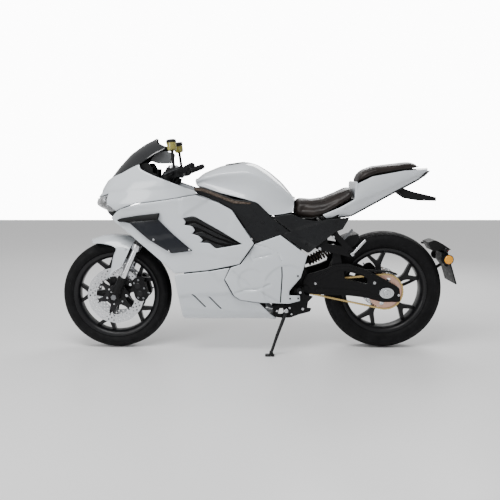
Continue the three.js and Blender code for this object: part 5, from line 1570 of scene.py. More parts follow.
def make_fender():
    side_view = [(-0.862, 0.567, 0.004), (-0.850, 0.570, 0.003), (-0.752, 0.556, 0.02),
                 (-0.737, 0.546, 0.01),
                 (-0.753, 0.511, 0.02), (-0.766, 0.439, 0.03), (-0.788, 0.386, 0.006), (-0.713, 0.449, 0.02),
                 (-0.683, 0.513), (-0.653, 0.575, 0.01), (-0.632, 0.588)]
    half = []
    for x, z, *rest in side_view:
        dx, dz = x - FRONT_AXLE.x, z - FRONT_AXLE.z
        half.append((-fender_turn(math.hypot(dx, dz)), math.atan2(dz, dx) * 0.3, *rest))
    start = (0, math.atan2(0.567 - FRONT_AXLE.z, -0.884 - FRONT_AXLE.x) * 0.3)
    stop = (0, math.atan2(0.588 - FRONT_AXLE.z, -0.625 - FRONT_AXLE.x) * 0.3)
    domain = rounded(mirrored_domain([start, *half, stop]), 0.003)
    skin("fender_shell", domain, lambda a, b: smooth_fender(a, b / 0.3), WHITE, "fork_sliders",
         "white_paint",
         "front_fender", roll=0.005, thickness=0.003, spacing=0.008, flip=True)
    bolts = Shape()
    for side, _ in SIDES:
        for x, z in ((-0.714, 0.470), (-0.742, 0.428), (-0.690, 0.545)):
            bolts.screw((x, side * 0.115, z), (0, side, 0), 0.0055, 0.004)
    bolts.to_piece("fender_bolts", SILVER, "fork_sliders", "steel")


def make_clamps():
    outline = [(-0.030, -0.130, 0.028), (0.030, -0.130, 0.024), (0.062, -0.034, 0.018),
               (0.062, 0.034, 0.018),
               (0.030, 0.130, 0.024), (-0.030, 0.130, 0.028), (-0.012, 0.040, 0.030),
               (-0.012, -0.040, 0.030)]
    flip = Matrix(((1, 0, 0, 0), (0, 0, 1, 0), (0, 1, 0, 0), (0, 0, 0, 1)))
    shape = Shape()
    ring = [[(0.0224 * math.cos(t), side * LEG_Y + 0.0224 * math.sin(t))
             for t in np.linspace(0, 2 * math.pi, 33)[:-1]]
            for side, _ in SIDES]
    for low, high in ((0.440, 0.478), (0.712, 0.736)):
        shape.prism(rounded(outline), low, high, ring, to=FORK_FRAME @ flip)
    stem = FORK_FRAME @ Vector((0.033, 0, 0))
    shape.lathe([(0, 0.430), (0.0158, 0.430), (0.0158, 0.736), (0.022, 0.736), (0.022, 0.744),
                 (0.013, 0.748), (0, 0.748)],
                stem, FORK_UP, 36)
    shape.to_piece("triple_tree", CAST, "steering", "black_metal", "triple_clamp", bevel=0.0025, segments=3)
    bolts = Shape()
    for side, _ in SIDES:
        for z in (0.452, 0.468, 0.724):
            bolts.screw(FORK_FRAME @ Vector((-0.020, side * (LEG_Y - 0.030), z)), -FORK_BACK, 0.0055, 0.005)
    bolts.to_piece("clamp_bolts", SILVER, "steering", "steel")


def bar_frame(side):
    outward = Vector((0.137, side * 0.209, 0.059)).normalized()
    sideways = Vector((0, 0, 1)).cross(outward).normalized()
    up = outward.cross(sideways)
    turn = Matrix((outward, sideways, up)).transposed().to_4x4()
    return Matrix.Translation((-0.455, side * 0.126, 0.916)) @ turn


def placed(shape, frame_matrix):
    shape.verts = [frame_matrix @ v for v in shape.verts]
    return shape


def make_bars():
    for side, word in SIDES:
        frame_matrix = bar_frame(side)
        forward = side
        steer = "steering"
        bar = Shape()
        bar.rod((0.006, 0, 0), (0.252, 0, 0), 0.0110, segments=28)
        bar.lathe([(0, 0.244), (0.0148, 0.244), (0.0150, 0.250), (0.0145, 0.259), (0.0110, 0.2615),
                   (0, 0.262)],
                  (0, 0, 0), (1, 0, 0), 28)
        placed(bar, frame_matrix)
        leg = FORK_FRAME @ Vector((0, side * LEG_Y, 0))
        bar.lathe([(0.0224, 0.676), (0.0325, 0.676), (0.0330, 0.679), (0.0330, 0.701), (0.0325, 0.704),
                   (0.0224, 0.704)], leg, FORK_UP, 44)
        bar.to_piece(f"clip_on_{word}", CAST, steer, "black_metal", f"handlebar_{word}", bevel=0.0008)
        pod = Shape()
        button = [(0.101 + 0.0072 * math.cos(t), 0.0072 * math.sin(t)) for t in np.linspace(0, 2 * math.pi,
                                                                                            25)[:-1]]
        plate = rounded([(0.084, -0.0155, 0.005), (0.118, -0.0155, 0.005), (0.118, 0.0155, 0.005),
                         (0.084, 0.0155, 0.005)])
        pod.prism(plate, 0.0128, 0.0172, [button], to=LYING)
        pod.prism(plate, -0.0165, 0.0128, to=LYING)
        pod.prism(rounded([(0.086, 0.003), (0.096, 0.003), (0.096, 0.009), (0.086, 0.009)], 0.001), -0.019,
                  0.019)
        placed(pod, frame_matrix).to_piece(f"switch_pod_{word}", GRAINED, steer, "black_plastic",
                                           bevel=0.0012)
        cap = Shape().lathe([(0, 0.0145), (0.0060, 0.0145), (0.0062, 0.0150), (0.0060, 0.0222),
                             (0.0050, 0.0232), (0, 0.0235)],
                            (0.101, 0, 0), (0, 0, 1), 24)
        placed(cap, frame_matrix)
        if side == RIGHT:
            cap.to_piece("kill_button_cap", RED, "kill_button", "red_button", "kill_switch")
        else:
            cap.to_piece("horn_button_cap", GRAINED, "horn", "grip", "horn_button")
        grip = Shape()
        profile = [(0.0114 if side == RIGHT else 0.0112, 0.122), (0.0185, 0.122), (0.0190, 0.1245),
                   (0.0175, 0.128)]
        for k in range(26):
            x = 0.131 + k * 0.0040
            profile += [(0.0158, x), (0.0158, x + 0.0026), (0.0149, x + 0.0030), (0.0149, x + 0.0037)]
        profile += [(0.0160, 0.2375), (0.0160, 0.2400), (0.0114 if side == RIGHT else 0.0112, 0.2400)]
        grip.lathe(profile, (0, 0, 0), (1, 0, 0), 36)
        placed(grip, frame_matrix)
        if side == RIGHT:
            grip.to_piece("throttle_rubber", GRIP_RUBBER, "throttle", "grip", "throttle_grip")
        else:
            grip.to_piece("left_rubber", GRIP_RUBBER, steer, "grip")
        make_master(word, frame_matrix, forward)
        make_lever(word, frame_matrix, forward)


def make_master(word, frame_matrix, forward):
    body = Shape()
    body.lathe([(0.0113, 0.054), (0.0165, 0.054), (0.0172, 0.056), (0.0172, 0.076), (0.0165, 0.078),
                (0.0113, 0.078)],
               (0, 0, 0), (1, 0, 0), 36)
    body.lathe([(0, 0.036), (0.0070, 0.036), (0.0105, 0.042), (0.0105, 0.088), (0.0085, 0.093), (0, 0.093)],
               (0, forward * 0.030, 0.004), (1, 0, 0), 32)
    low, high = sorted((0, forward * 0.030))
    body.block((0.057, low, -0.007), (0.075, high, 0.010))
    low, high = sorted((forward * 0.030, forward * 0.058))
    body.block((0.052, low, 0.0102), (0.074, high, 0.0150))
    body.rod((0.062, forward * 0.050, -0.006), (0.062, forward * 0.050, 0.0102), 0.0034)
    body.tube([(0.072, forward * 0.002, 0.012), (0.073, forward * 0.004, 0.060),
               (0.072, forward * 0.002, 0.126)],
              0.0075, 14, 6)
    placed(body, frame_matrix)
    body.to_piece(f"master_body_{word}", CAST, "steering", "black_metal", f"master_cylinder_{word}",
                  bevel=0.001)
    at = (0.072, forward * 0.002, 0)
    cup = Shape().lathe([(0, 0.122), (0.0190, 0.122), (0.0225, 0.126), (0.0238, 0.132), (0.0238, 0.160),
                         (0, 0.160)],
                        at, (0, 0, 1), 40)
    placed(cup, frame_matrix).to_piece(f"reservoir_{word}", FLUID, "steering", "fluid_cup")
    lid = Shape().lathe([(0, 0.160), (0.0250, 0.160), (0.0254, 0.162), (0.0254, 0.173), (0.0240, 0.1758),
                         (0.014, 0.1762),
                         (0.0135, 0.1752), (0, 0.1752)], at, (0, 0, 1), 40)
    for k in range(18):
        t = k * 2 * math.pi / 18
        place = (0.072 + 0.0250 * math.cos(t), forward * 0.002 + 0.0250 * math.sin(t), 0.1615)
        lid.rod(place, (place[0], place[1], 0.1725), 0.0012, segments=6)
    placed(lid, frame_matrix).to_piece(f"reservoir_lid_{word}", GRAINED, "steering", "black_plastic")


def make_lever(word, frame_matrix, forward):
    lever = Shape()
    lever.disc((0.062, forward * 0.050, 0), (0, 0, 1), 0.0100, -0.0045, 0.0088, 0.0038, segments=28)
    lever.tube([(0.064, forward * 0.053, 0.002), (0.080, forward * 0.0605, 0.002),
                (0.105, forward * 0.0625, 0.001),
                (0.150, forward * 0.0600, 0.000), (0.190, forward * 0.0560, -0.001),
                (0.222, forward * 0.0525, -0.002),
                (0.228, forward * 0.0520, -0.002)],
               [0.0055, 0.0055, 0.0052, 0.0050, 0.0048, 0.0052, 0.0058], 14, 6)
    placed(lever, frame_matrix)
    lever.to_piece(f"lever_blade_{word}", BLACK_METAL, f"lever_{word}", "steel", f"brake_lever_{word}")


def make_cockpit():
    dash = Shape()
    dash.prism(rounded([(-0.560, 1.002, 0.010), (-0.528, 1.043, 0.012), (-0.475, 1.051, 0.010),
                        (-0.444, 1.041, 0.008),
                        (-0.460, 0.990, 0.008), (-0.522, 0.987, 0.012)]), -0.066, 0.066)
    dash.to_piece("dash_case", DASH, "chassis", "black_plastic", bevel=0.006, segments=3)
    face = Shape().prism(rounded([(-0.4455, 1.0330, 0.002), (-0.4425, 1.0320, 0.002),
                                  (-0.4560, 0.9970, 0.002),
                                  (-0.4590, 0.9980, 0.002)]), -0.058, 0.058)
    face.to_piece("dash_face", GLASS_BLACK, "chassis", "screen", bevel=0.001)
    walls = Shape()
    wall = rounded([(-0.650, 0.925, 0.01), (-0.600, 0.988, 0.02), (-0.562, 0.992, 0.01),
                    (-0.542, 0.955, 0.01),
                    (-0.542, 0.900, 0.01), (-0.600, 0.900, 0.01)])
    for side, _ in SIDES:
        walls.prism(wall, *span(side, 0.100, 0.104))
    walls.to_piece("cockpit_walls", GRAINED, "chassis", "black_plastic", bevel=0.001)
    stay = Shape()
    for y in (-0.050, 0.050):
        stay.tube([(-0.470, y * 0.5, 0.832), (-0.520, y, 0.880), (-0.525, y, 0.960)], 0.0075, 12)
        stay.tube([(-0.525, y, 0.930), (-0.600, y * 1.3, 0.930), (-0.690, y * 1.2, 0.880),
                   (-0.735, y * 0.5, 0.852)], 0.006, 12)
    stay.to_piece("nose_stay", BLACK_METAL, "chassis", "frame_metal")

    def shroud(turn, along):
        x = -0.700 + along
        z = 0.905 + 0.115 * np.clip(along / 0.24, 0, 1)
        wide = np.minimum(body_half_width(x, z) - 0.010, 0.135)
        return np.stack([x, turn / 0.13 * wide, z - 0.045 * (turn / 0.13) ** 2], axis=1)

    half = [(0, 0.0), (-0.13, 0.0), (-0.13, 0.125, 0.02), (-0.10, 0.145, 0.02), (0, 0.150)]
    skin("cockpit_shroud", rounded(mirrored_domain(half)), shroud, GRAINED, "chassis", "black_plastic",
         roll=0.004,
         thickness=0.003, spacing=0.012, flip=True)


# ------------------------------------------------------------------ frame, motor and battery
def make_frame():
    tubes = Shape()
    for side, _ in SIDES:
        tubes.tube([(-0.462, side * 0.024, 0.850), (-0.400, side * 0.070, 0.812),
                    (-0.290, side * 0.112, 0.750),
                    (-0.100, side * 0.124, 0.680), (0.070, side * 0.116, 0.615),
                    (0.200, side * 0.097, 0.480)], 0.015, 20)
        tubes.tube([(0.060, side * 0.116, 0.622), (0.200, side * 0.110, 0.672), (0.345, side * 0.108, 0.688),
                    (0.430, side * 0.106, 0.738), (0.520, side * 0.096, 0.800),
                    (0.690, side * 0.054, 0.876)], 0.010, 16)
    for x, z, wide, radius in ((0.205, 0.495, 0.098, 0.011), (0.330, 0.684, 0.104, 0.009),
                               (0.520, 0.800, 0.096, 0.008),
                               (-0.150, 0.695, 0.122, 0.011), (0.680, 0.872, 0.058, 0.008)):
        tubes.rod((x, -wide, z), (x, wide, z), radius)
    stem = FORK_FRAME @ Vector((0.033, 0, 0))
    tubes.lathe([(0.0165, 0.482), (0.0285, 0.482), (0.0300, 0.485), (0.0300, 0.703), (0.0285, 0.706),
                 (0.0165, 0.706)],
                stem, FORK_UP, 40)
    tubes.rod((-0.470, 0, 0.815), (-0.742, 0, 0.852), 0.009)
    tubes.to_piece("frame_tubes", BLACK_METAL, "chassis", "frame_metal", "main_frame", sharp=40)
    plates = Shape()
    for side, _ in SIDES:
        def slab(outline, near, far, holes=()):
            low, high = span(side, near, far)
            plates.prism(outline, low, high, holes)

        slab(rounded([(0.172, 0.500, 0.010), (0.232, 0.500, 0.010), (0.262, 0.400, 0.03),
                      (0.284, 0.345, 0.014),
                      (0.270, 0.300, 0.02), (0.258, 0.218, 0.008), (0.235, 0.208, 0.005),
                      (0.138, 0.205, 0.008),
                      (0.128, 0.240, 0.008), (0.182, 0.310, 0.02), (0.168, 0.400, 0.02)]), 0.092, 0.102)
        slab(rounded([(0.330, 0.688, 0.004), (0.386, 0.712, 0.004), (0.400, 0.690, 0.01),
                      (0.412, 0.630, 0.02),
                      (0.499, 0.540, 0.008), (0.502, 0.508, 0.008), (0.470, 0.507, 0.008),
                      (0.345, 0.535, 0.006),
                      (0.298, 0.548, 0.008), (0.300, 0.575, 0.01)]), 0.110, 0.122,
             [rounded([(0.360, 0.640, 0.008), (0.392, 0.655, 0.006), (0.396, 0.606, 0.01),
                       (0.440, 0.560, 0.008),
                       (0.360, 0.572, 0.010)])])
        slab(rounded([(0.195, 0.504), (0.215, 0.504), (0.252, 0.462), (0.252, 0.440, 0.005),
                      (0.226, 0.440, 0.005),
                      (0.195, 0.486)], 0.002), 0.017, 0.024)
        plates.disc((PIVOT.x, 0, PIVOT.z), (0, 1, 0), 0.0119, *span(side, 0.101, 0.1235), segments=36)
        plates.disc((PIVOT.x, 0, PIVOT.z), (0, 1, 0), 0.0165, *span(side, 0.1236, 0.1290), segments=6)
        along = Vector((math.sin(math.radians(48)), 0, -math.cos(math.radians(48))))
        peg = Vector((0.487, side * 0.134, 0.520))
        for end in (-1, 1):
            near = peg + along * 0.015 * end
            plates.rod((near.x, side * 0.118, near.z), (near.x, side * 0.141, near.z), 0.0050, segments=18)
            plates.rod(near, near + along * 0.005 * end, 0.0070, segments=18)
        plates.rod(peg - along * 0.016, peg + along * 0.016, 0.0030, segments=14)
    plates.rod((0.238, -0.022, 0.450), (0.238, 0.022, 0.450), 0.0069)
    plates.to_piece("frame_plates", CAST, "chassis", "frame_metal", bevel=0.0018, segments=2)
    bolts = Shape()
    for side, _ in SIDES:
        for x, z in ((0.390, 0.609), (0.320, 0.549), (0.352, 0.690)):
            bolts.screw((x, side * 0.122, z), (0, side, 0), 0.0080, 0.006)
    bolts.to_piece("frame_bolts", SILVER, "chassis", "steel")


def make_drive_unit():
    box = Shape().prism(rounded([(-0.388, 0.250, 0.014), (-0.388, 0.520, 0.020), (-0.300, 0.560, 0.020),
                                 (0.040, 0.560, 0.014), (0.040, 0.208, 0.010), (-0.350, 0.208, 0.014)]),
                        -0.112, 0.112)
    for side, _ in SIDES:
        for i in range(9):
            x = -0.360 + i * 0.044
            low, high = span(side, 0.112, 0.120)
            box.prism(rounded([(x, 0.240, 0.002), (x + 0.024, 0.240, 0.002), (x + 0.024, 0.535, 0.002),
                               (x, 0.535, 0.002)]), low, high)
    box.to_piece("battery_box", CAST, "chassis", "battery_case", "battery_pack", bevel=0.002)
    motor = Shape()
    profile = [(0, -0.064), (0.060, -0.064), (0.084, -0.061), (0.092, -0.054)]
    for k in range(13):
        y = -0.048 + k * 0.0080
        profile += [(0.0925, y - 0.0024), (0.0985, y - 0.0018), (0.0985, y + 0.0012), (0.0925, y + 0.0018)]
    profile += [(0.092, 0.054), (0.084, 0.061), (0.060, 0.064), (0, 0.064)]
    motor.lathe(profile, (0.150, 0, 0.345), (0, 1, 0), 64)
    motor.prism(rounded([(0.150, 0.400, 0.01), (0.262, 0.382, 0.014), (0.290, 0.345, 0.014),
                         (0.276, 0.306, 0.014),
                         (0.150, 0.290, 0.01)]), -0.064, 0.030)
    motor.to_piece("motor_case_finned", STEEL, "chassis", "motor_case", "motor", sharp=38)
    guard = Shape()
    roof = [(0.420, 0.585), (0.450, 0.597), (0.486, 0.612), (0.528, 0.621)]
    guard.prism([*roof, *[(x + 0.001, z - 0.004) for x, z in reversed(roof)]], -0.076, 0.076)
    wall = rounded([*roof, (0.532, 0.579, 0.010), (0.487, 0.542, 0.012), (0.439, 0.548, 0.010)])
    for side, _ in SIDES:
        guard.prism(wall, *span(side, 0.073, 0.077))
    guard.to_piece("inner_mudguard", GRAINED, "rear_arm", "black_plastic", bevel=0.0012)
    bracket = Shape()
    bracket.prism(rounded([(0.440, 0.590, 0.003), (0.452, 0.586, 0.003), (0.500, 0.640, 0.004),
                           (0.492, 0.650, 0.004)]),
                  -0.0795, -0.0772)
    bracket.to_piece("mudguard_bracket", STEEL, "rear_arm", "steel", bevel=0.0006)


# ------------------------------------------------------------------ rear suspension and number-plate holder
def make_swingarm():
    arm = Shape()
    for side, _ in SIDES:
        def slab(outline, near, far, holes=()):
            low, high = span(side, near, far)
            arm.prism(outline, low, high, holes)

        window = rounded([(0.446, 0.432, 0.012), (0.533, 0.412, 0.01), (0.575, 0.390, 0.008),
                          (0.572, 0.360, 0.008),
                          (0.455, 0.388, 0.010)])
        hole = ring_round(PIVOT, 0.0126, 32)
        outer = rounded([(0.235, 0.318, 0.010), (0.238, 0.372, 0.012), (0.252, 0.410, 0.014),
                         (0.347, 0.439, 0.02),
                         (0.402, 0.465, 0.014), (0.475, 0.469, 0.016), (0.583, 0.428, 0.03),
                         (0.682, 0.376, 0.03),
                         (0.741, 0.341, 0.014), (0.748, 0.266, 0.014), (0.648, 0.266, 0.012),
                         (0.560, 0.290, 0.03),
                         (0.471, 0.301, 0.03), (0.290, 0.308, 0.01)])
        slab(outer, 0.104, 0.121, [window, hole])
        inner = rounded([(0.294, 0.320, 0.010), (0.294, 0.420, 0.008), (0.347, 0.437, 0.02),
                         (0.402, 0.462, 0.014),
                         (0.475, 0.465, 0.016), (0.583, 0.425, 0.03), (0.682, 0.373, 0.03),
                         (0.738, 0.339, 0.014),
                         (0.744, 0.270, 0.014), (0.648, 0.270, 0.012), (0.560, 0.294, 0.03),
                         (0.471, 0.305, 0.03),
                         (0.300, 0.312, 0.01)])
        slab(inner, 0.096, 0.1045, [window])
        rib = rounded([(0.300, 0.395, 0.008), (0.352, 0.425, 0.008), (0.405, 0.452, 0.010),
                       (0.474, 0.456, 0.010),
                       (0.580, 0.417, 0.02), (0.660, 0.376, 0.01), (0.650, 0.366, 0.008),
                       (0.578, 0.403, 0.01),
                       (0.473, 0.440, 0.010), (0.410, 0.436, 0.010), (0.310, 0.380, 0.008)])
        slab(rib, 0.1205, 0.1240)
        low_rib = rounded([(0.300, 0.322, 0.005), (0.471, 0.316, 0.02), (0.560, 0.305, 0.02),
                           (0.640, 0.282, 0.006),
                           (0.640, 0.292, 0.005), (0.562, 0.322, 0.02), (0.470, 0.332, 0.02),
                           (0.305, 0.340, 0.005)])
        slab(low_rib, 0.1205, 0.1235)
        slab(rounded([(0.384, 0.455, 0.004), (0.440, 0.462, 0.004), (0.424, 0.550, 0.008),
                      (0.396, 0.552, 0.008)]),
             0.096, 0.108)
    arm.block((0.296, -0.097, 0.314), (0.332, 0.097, 0.358))
    arm.rod((0.410, -0.098, 0.540), (0.410, 0.098, 0.540), 0.0088)
    arm.to_piece("swingarm_casting", CAST, "rear_arm", "black_metal", "swingarm", bevel=0.003, segments=3)
    axle = Shape()
    axle.rod((REAR_AXLE.x, -0.134, REAR_AXLE.z), (REAR_AXLE.x, 0.134, REAR_AXLE.z), 0.0120, segments=32)
    for side, _ in SIDES:
        low, high = span(side, 0.1245, 0.1300)
        plate = ring_round(REAR_AXLE, 0.028, 40)
        plate = [(REAR_AXLE.x + (x - REAR_AXLE.x) * 1.35, z) for x, z in plate]
        axle.prism(plate, low, high)
        low, high = span(side, 0.1300, 0.1400)
        axle.disc((REAR_AXLE.x, 0, REAR_AXLE.z), (0, 1, 0), 0.0190, low, high, 0.006, 0.0018, 6)
    axle.to_piece("rear_spindle", SILVER, "rear_arm", "steel", "rear_axle", bevel=0.0008)
    bolts = Shape()
    for side, _ in SIDES:
        for x, z, r in ((0.609, 0.368, 0.0075), (0.577, 0.279, 0.0095), (0.300, 0.365, 0.0065),
                        (0.737, 0.303, 0.0065)):
            bolts.disc((x, 0, z), (0, 1, 0), r, *span(side, 0.1205, 0.1275), segments=24)
            bolts.screw((x, side * 0.1275, z), (0, side, 0), r * 0.7, 0.003)
    bolts.to_piece("swingarm_bolts", SILVER, "rear_arm", "steel")
    slider = Shape()
    slider.prism(rounded([(0.262, 0.384, 0.004), (0.330, 0.387, 0.01), (0.410, 0.398, 0.004),
                          (0.408, 0.404, 0.003),
                          (0.330, 0.394, 0.01), (0.262, 0.391, 0.003)]), -0.0955, -0.070)
    slider.to_piece("chain_slider", GRAINED, "rear_arm", "black_plastic", bevel=0.001)
    guard = Shape()
    guard.prism(rounded([(0.440, 0.447, 0.004), (0.585, 0.432, 0.01), (0.690, 0.428, 0.02),
                         (0.735, 0.412, 0.008),
                         (0.732, 0.404, 0.004), (0.690, 0.419, 0.02), (0.585, 0.423, 0.01),
                         (0.442, 0.438, 0.004)]),
                -0.0955, -0.070)
    guard.to_piece("chain_guard", GRAINED, "rear_arm", "black_plastic", bevel=0.0012)


def make_shock():
    front, rear = Vector((0.238, 0, 0.450)), Vector((0.410, 0, 0.540))
    along = (rear - front).normalized()
    body = Shape()
    body.disc(front, (0, 1, 0), 0.0160, -0.014, 0.014, 0.0074)
    body.lathe([(0.0082, 0.030), (0.0110, 0.010), (0.0120, 0.034), (0.0265, 0.034), (0.0270, 0.036),
                (0.0270, 0.043),
                (0.0200, 0.046), (0.0192, 0.050), (0.0192, 0.108), (0.0180, 0.112), (0.0082, 0.112)], front,
               along, 40)
    body.to_piece("shock_cylinder", CAST, "shock_housing", "black_metal", "shock_body", sharp=38)
    shaft = Shape()
    shaft.rod(front + along * 0.082, front + along * 0.186, 0.0069)
    shaft.lathe([(0.0069, 0.158), (0.0240, 0.160), (0.0250, 0.162), (0.0250, 0.168), (0.0240, 0.170),
                 (0.0069, 0.172)],
                front, along, 40)
    shaft.disc(rear, (0, 1, 0), 0.0180, -0.014, 0.014, 0.0130)
    shaft.to_piece("shock_shaft_bright", CHROME, "shock_shaft", "steel", "shock_rod")
    coil = Shape()
    first, second = along.orthogonal().normalized(), along.cross(along.orthogonal().normalized())
    path = []
    turns = 6.5
    for k in range(131):
        t = k / 130
        angle = t * turns * 2 * math.pi
        path.append(front + along * (0.0495 + t * 0.1055)
                    + (first * math.cos(angle) + second * math.sin(angle)) * 0.0240)
    coil.tube(path, 0.0048, 12, 1)
    spring = coil.to_piece("shock_spring", SPRING_BRONZE_AND_PAINTED_SHEEN, None, "black_metal", sharp=60)
    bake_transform(spring)


def make_plate_holder():
    arm = Shape()
    arm.tube([(0.735, 0.136, 0.300), (0.820, 0.146, 0.310), (0.930, 0.130, 0.370), (1.018, 0.084, 0.440)],
             0.009, 18)
    arm.disc((0.735, 0, 0.300), (0, 1, 0), 0.0160, 0.1245, 0.1360)
    arm.rod((0.905, 0.1, 0.556), (0.960, 0.06, 0.556), 0.006)
    arm.to_piece("holder_arm", BLACK_METAL, "rear_arm", "black_metal")
    holder = Shape()
    holder.prism(rounded([(0.982, 0.545, 0.002), (0.988, 0.546, 0.002), (1.0478, 0.358, 0.002),
                          (1.042, 0.355, 0.002)]),
                 -0.096, 0.096)
    holder.prism(rounded([(0.899, 0.573, 0.005), (0.937, 0.587, 0.012), (0.976, 0.567, 0.01),
                          (1.024, 0.535, 0.004),
                          (0.990, 0.534, 0.004), (0.925, 0.528, 0.008)]), -0.058, 0.058)
    holder.prism(rounded([(0.974, 0.522, 0.004), (0.992, 0.520, 0.004), (1.012, 0.452, 0.006),
                          (1.002, 0.440, 0.006),
                          (0.975, 0.472, 0.01)]), -0.052, 0.052)
    holder.tube([(0.998, 0.030, 0.500), (1.010, 0.076, 0.460), (1.018, 0.084, 0.440)], 0.010, 14)
    holder.to_piece("holder_plate", GRAINED, "rear_arm", "black_plastic", "plate_holder", bevel=0.002,
                    segments=2)
    bolts = Shape()
    for y in (-0.070, -0.040, 0.040, 0.070):
        bolts.screw((1.0305, y, 0.428), (0.95, 0, 0.3), 0.005, 0.003)
    bolts.to_piece("holder_screws", SILVER, "rear_arm", "steel")
    lamps = Shape().prism(rounded([(0.990, 0.531, 0.002), (1.018, 0.533, 0.002), (1.010, 0.520, 0.003),
                                   (0.994, 0.520, 0.003)]), -0.046, 0.046)
    lamps.to_piece("plate_lamp", RED_LENS, "rear_arm", "lamp", bevel=0.002)
    for side, word in SIDES:
        case = Shape()
        case.lathe([(0, 0.106), (0.014, 0.106), (0.0215, 0.109), (0.0262, 0.115), (0.0262, 0.121),
                    (0.0230, 0.1215),
                    (0, 0.1205)], (0.993, 0, 0.490), (0, side, 0), 44)
        case.rod((1.001, side * 0.052, 0.490), (1.001, side * 0.110, 0.490), 0.0078)
        case.to_piece(f"indicator_case_{word}", GRAINED, "rear_arm", "black_plastic", bevel=0.0008)
        lens = Shape().lathe([(0, 0.1155), (0.0235, 0.1155), (0.0235, 0.1205), (0.0190, 0.1248),
                              (0.0080, 0.1262),
                              (0, 0.1264)], (0.993, 0, 0.490), (0, side, 0), 44)
        lens.to_piece(f"indicator_lens_{word}", AMBER, "rear_arm", "lamp")


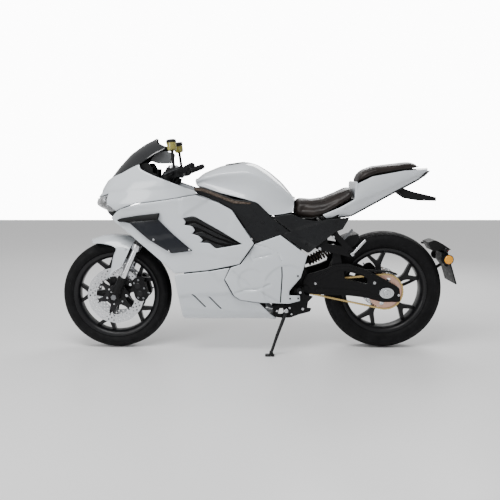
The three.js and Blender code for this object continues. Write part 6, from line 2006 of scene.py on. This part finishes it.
# ------------------------------------------------------------------ feet and stand
def make_feet():
    stand_axis = Vector(JOINTS["stand_fold"]["axis"]).normalized()
    stand_pivot = Vector((0.148, -0.150, 0.224))
    for side, word in SIDES:
        plate = Shape()

        def slab(shape, outline, near, far, holes=()):
            low, high = span(side, near, far)
            shape.prism(outline, low, high, holes)

        slab(plate, rounded([(0.077, 0.250, 0.008), (0.169, 0.253, 0.01), (0.188, 0.300, 0.02),
                             (0.188, 0.348, 0.010),
                             (0.238, 0.352, 0.010), (0.240, 0.310, 0.01), (0.288, 0.298, 0.006),
                             (0.250, 0.258, 0.006),
                             (0.256, 0.238, 0.01), (0.280, 0.235, 0.004), (0.271, 0.218, 0.004),
                             (0.214, 0.203, 0.01),
                             (0.170, 0.186, 0.008), (0.122, 0.185, 0.008), (0.081, 0.192, 0.008)]), 0.126,
             0.135,
             [rounded([(0.112, 0.236, 0.006), (0.150, 0.238, 0.005), (0.128, 0.206, 0.005),
                       (0.104, 0.206, 0.006)])])
        for x, z in ((0.165, 0.226), (0.238, 0.240)):
            plate.disc((x, 0, z), (0, 1, 0), 0.009, *span(side, 0.1023, 0.127), segments=24)
        y = side * 0.145
        low, high = sorted((y - side * 0.012, y + side * 0.009))
        for end in (-1, 1):
            x = 0.213 + end * 0.018
            plate.block((x - 0.003, low, 0.327), (x + 0.003, high, 0.347))
        plate.rod((0.194, y, 0.337), (0.232, y, 0.337), 0.0034, segments=16)
        if side == LEFT:
            plate.rod(stand_pivot - stand_axis * 0.021, stand_pivot + stand_axis * 0.012, 0.0059,
                      segments=24)
        plate.to_piece(f"foot_plate_{word}", CAST, "chassis", "black_metal", f"{word}_foot_bracket",
                       bevel=0.0016)
        bolts = Shape()
        for x, z, r in ((0.234, 0.233, 0.0078), (0.175, 0.205, 0.0055), (0.100, 0.222, 0.0065),
                        (0.213, 0.300, 0.0060),
                        (0.165, 0.238, 0.0065)):
            bolts.screw((x, side * 0.135, z), (0, side, 0), r, 0.0055)
        if side == LEFT:
            bolts.screw(stand_pivot + stand_axis * 0.012, stand_axis, 0.0110, 0.006)
        bolts.to_piece(f"foot_bolts_{word}", SILVER, "chassis", "steel")
        tip = Shape().screw((0.213, side * 0.2252, 0.337), (0, side, 0), 0.0065, 0.003)
        tip.to_piece(f"peg_bolt_{word}", SILVER, f"rider_peg_{word}", "steel")
        peg = Shape()
        profile = [(0, 0.152), (0.0095, 0.152), (0.0110, 0.156)]
        for k in range(11):
            at = 0.160 + k * 0.0058
            profile += [(0.0128, at), (0.0128, at + 0.0034), (0.0115, at + 0.0040), (0.0115, at + 0.0052)]
        profile += [(0.0135, 0.2235), (0.0135, 0.2248), (0.0120, 0.2252), (0, 0.2252)]
        peg.lathe(profile, (0.213, 0, 0.337), (0, side, 0), 30)
        low, high = span(side, 0.1385, 0.154)
        peg.block((0.2002, low, 0.3302), (0.2258, high, 0.3438))
        peg.to_piece(f"foot_peg_{word}", GRIP_RUBBER, f"rider_peg_{word}", "grip", f"rider_peg_{word}",
                     bevel=0.0006)
        rear_peg = Shape()
        up = Vector((math.cos(math.radians(48)), 0, math.sin(math.radians(48))))
        along = Vector((math.sin(math.radians(48)), 0, -math.cos(math.radians(48))))
        hub = Vector((0.487, side * 0.134, 0.520))
        rear_peg.disc(hub, along, 0.0080, -0.009, 0.009, 0.0034)
        rear_peg.lathe([(0, 0.004), (0.0068, 0.006), (0.0062, 0.016), (0.0072, 0.020), (0.0080, 0.030),
                        (0.0074, 0.036),
                        (0.0080, 0.042), (0.0074, 0.050), (0.0080, 0.056), (0.0074, 0.064), (0.0080, 0.070),
                        (0.0074, 0.078), (0.0078, 0.086), (0.0070, 0.098), (0.0040, 0.1005), (0, 0.101)],
                       hub, up, 28)
        rear_peg.to_piece(f"passenger_peg_{word}", SILVER, f"pillion_peg_{word}", "steel",
                          f"pillion_peg_{word}")
    make_stand(stand_axis, stand_pivot)


def make_stand(axis, pivot):
    stand = Shape()
    stand.disc(pivot, axis, 0.0140, -0.0075, 0.009, 0.0065, 0.0015)
    knee, ankle = Vector((0.101, -0.174, 0.106)), Vector((0.068, -0.198, 0.016))
    stand.tube([pivot + Vector((-0.006, -0.004, -0.012)), pivot.lerp(knee, 0.5), knee,
                knee.lerp(ankle, 0.5), ankle],
               [0.0095, 0.0092, 0.0086, 0.0078, 0.0080], 22, 8)
    stand.tube([knee + Vector((0, 0.002, 0)), knee + Vector((-0.004, -0.030, 0.004))], 0.0046, 14, 4)
    stand.lathe([(0, 0), (0.0075, 0), (0.0080, 0.002), (0.0060, 0.005), (0, 0.006)],
                knee + Vector((-0.004, -0.030, 0.004)),
                (-0.13, -1, 0.13), 18)
    foot = rounded([(0.034, -0.217, 0.010), (0.084, -0.219, 0.010), (0.086, -0.183, 0.010),
                    (0.038, -0.181, 0.010)])
    stand.prism(foot, 0.0, 0.007, to=LYING)
    stand.rod((ankle.x, ankle.y, 0.006), (ankle.x, ankle.y, 0.026), 0.0118, 0.0088)
    stand.to_piece("stand_leg", BLACK_METAL, "stand", "black_metal", "side_stand", bevel=0.0012)


# ------------------------------------------------------------------ put together
make_camera()
make_studio()
make_nose()
make_side_fairings()
make_winglets()
make_belly()
make_battery_covers()
make_frame_covers()
make_tank()
make_tail()
make_seats()
make_front_wheel()
make_rear_wheel()
make_chain()
make_fork()
make_fender()
make_clamps()
make_bars()
make_cockpit()
make_frame()
make_drive_unit()
make_swingarm()
make_shock()
make_plate_holder()
make_feet()
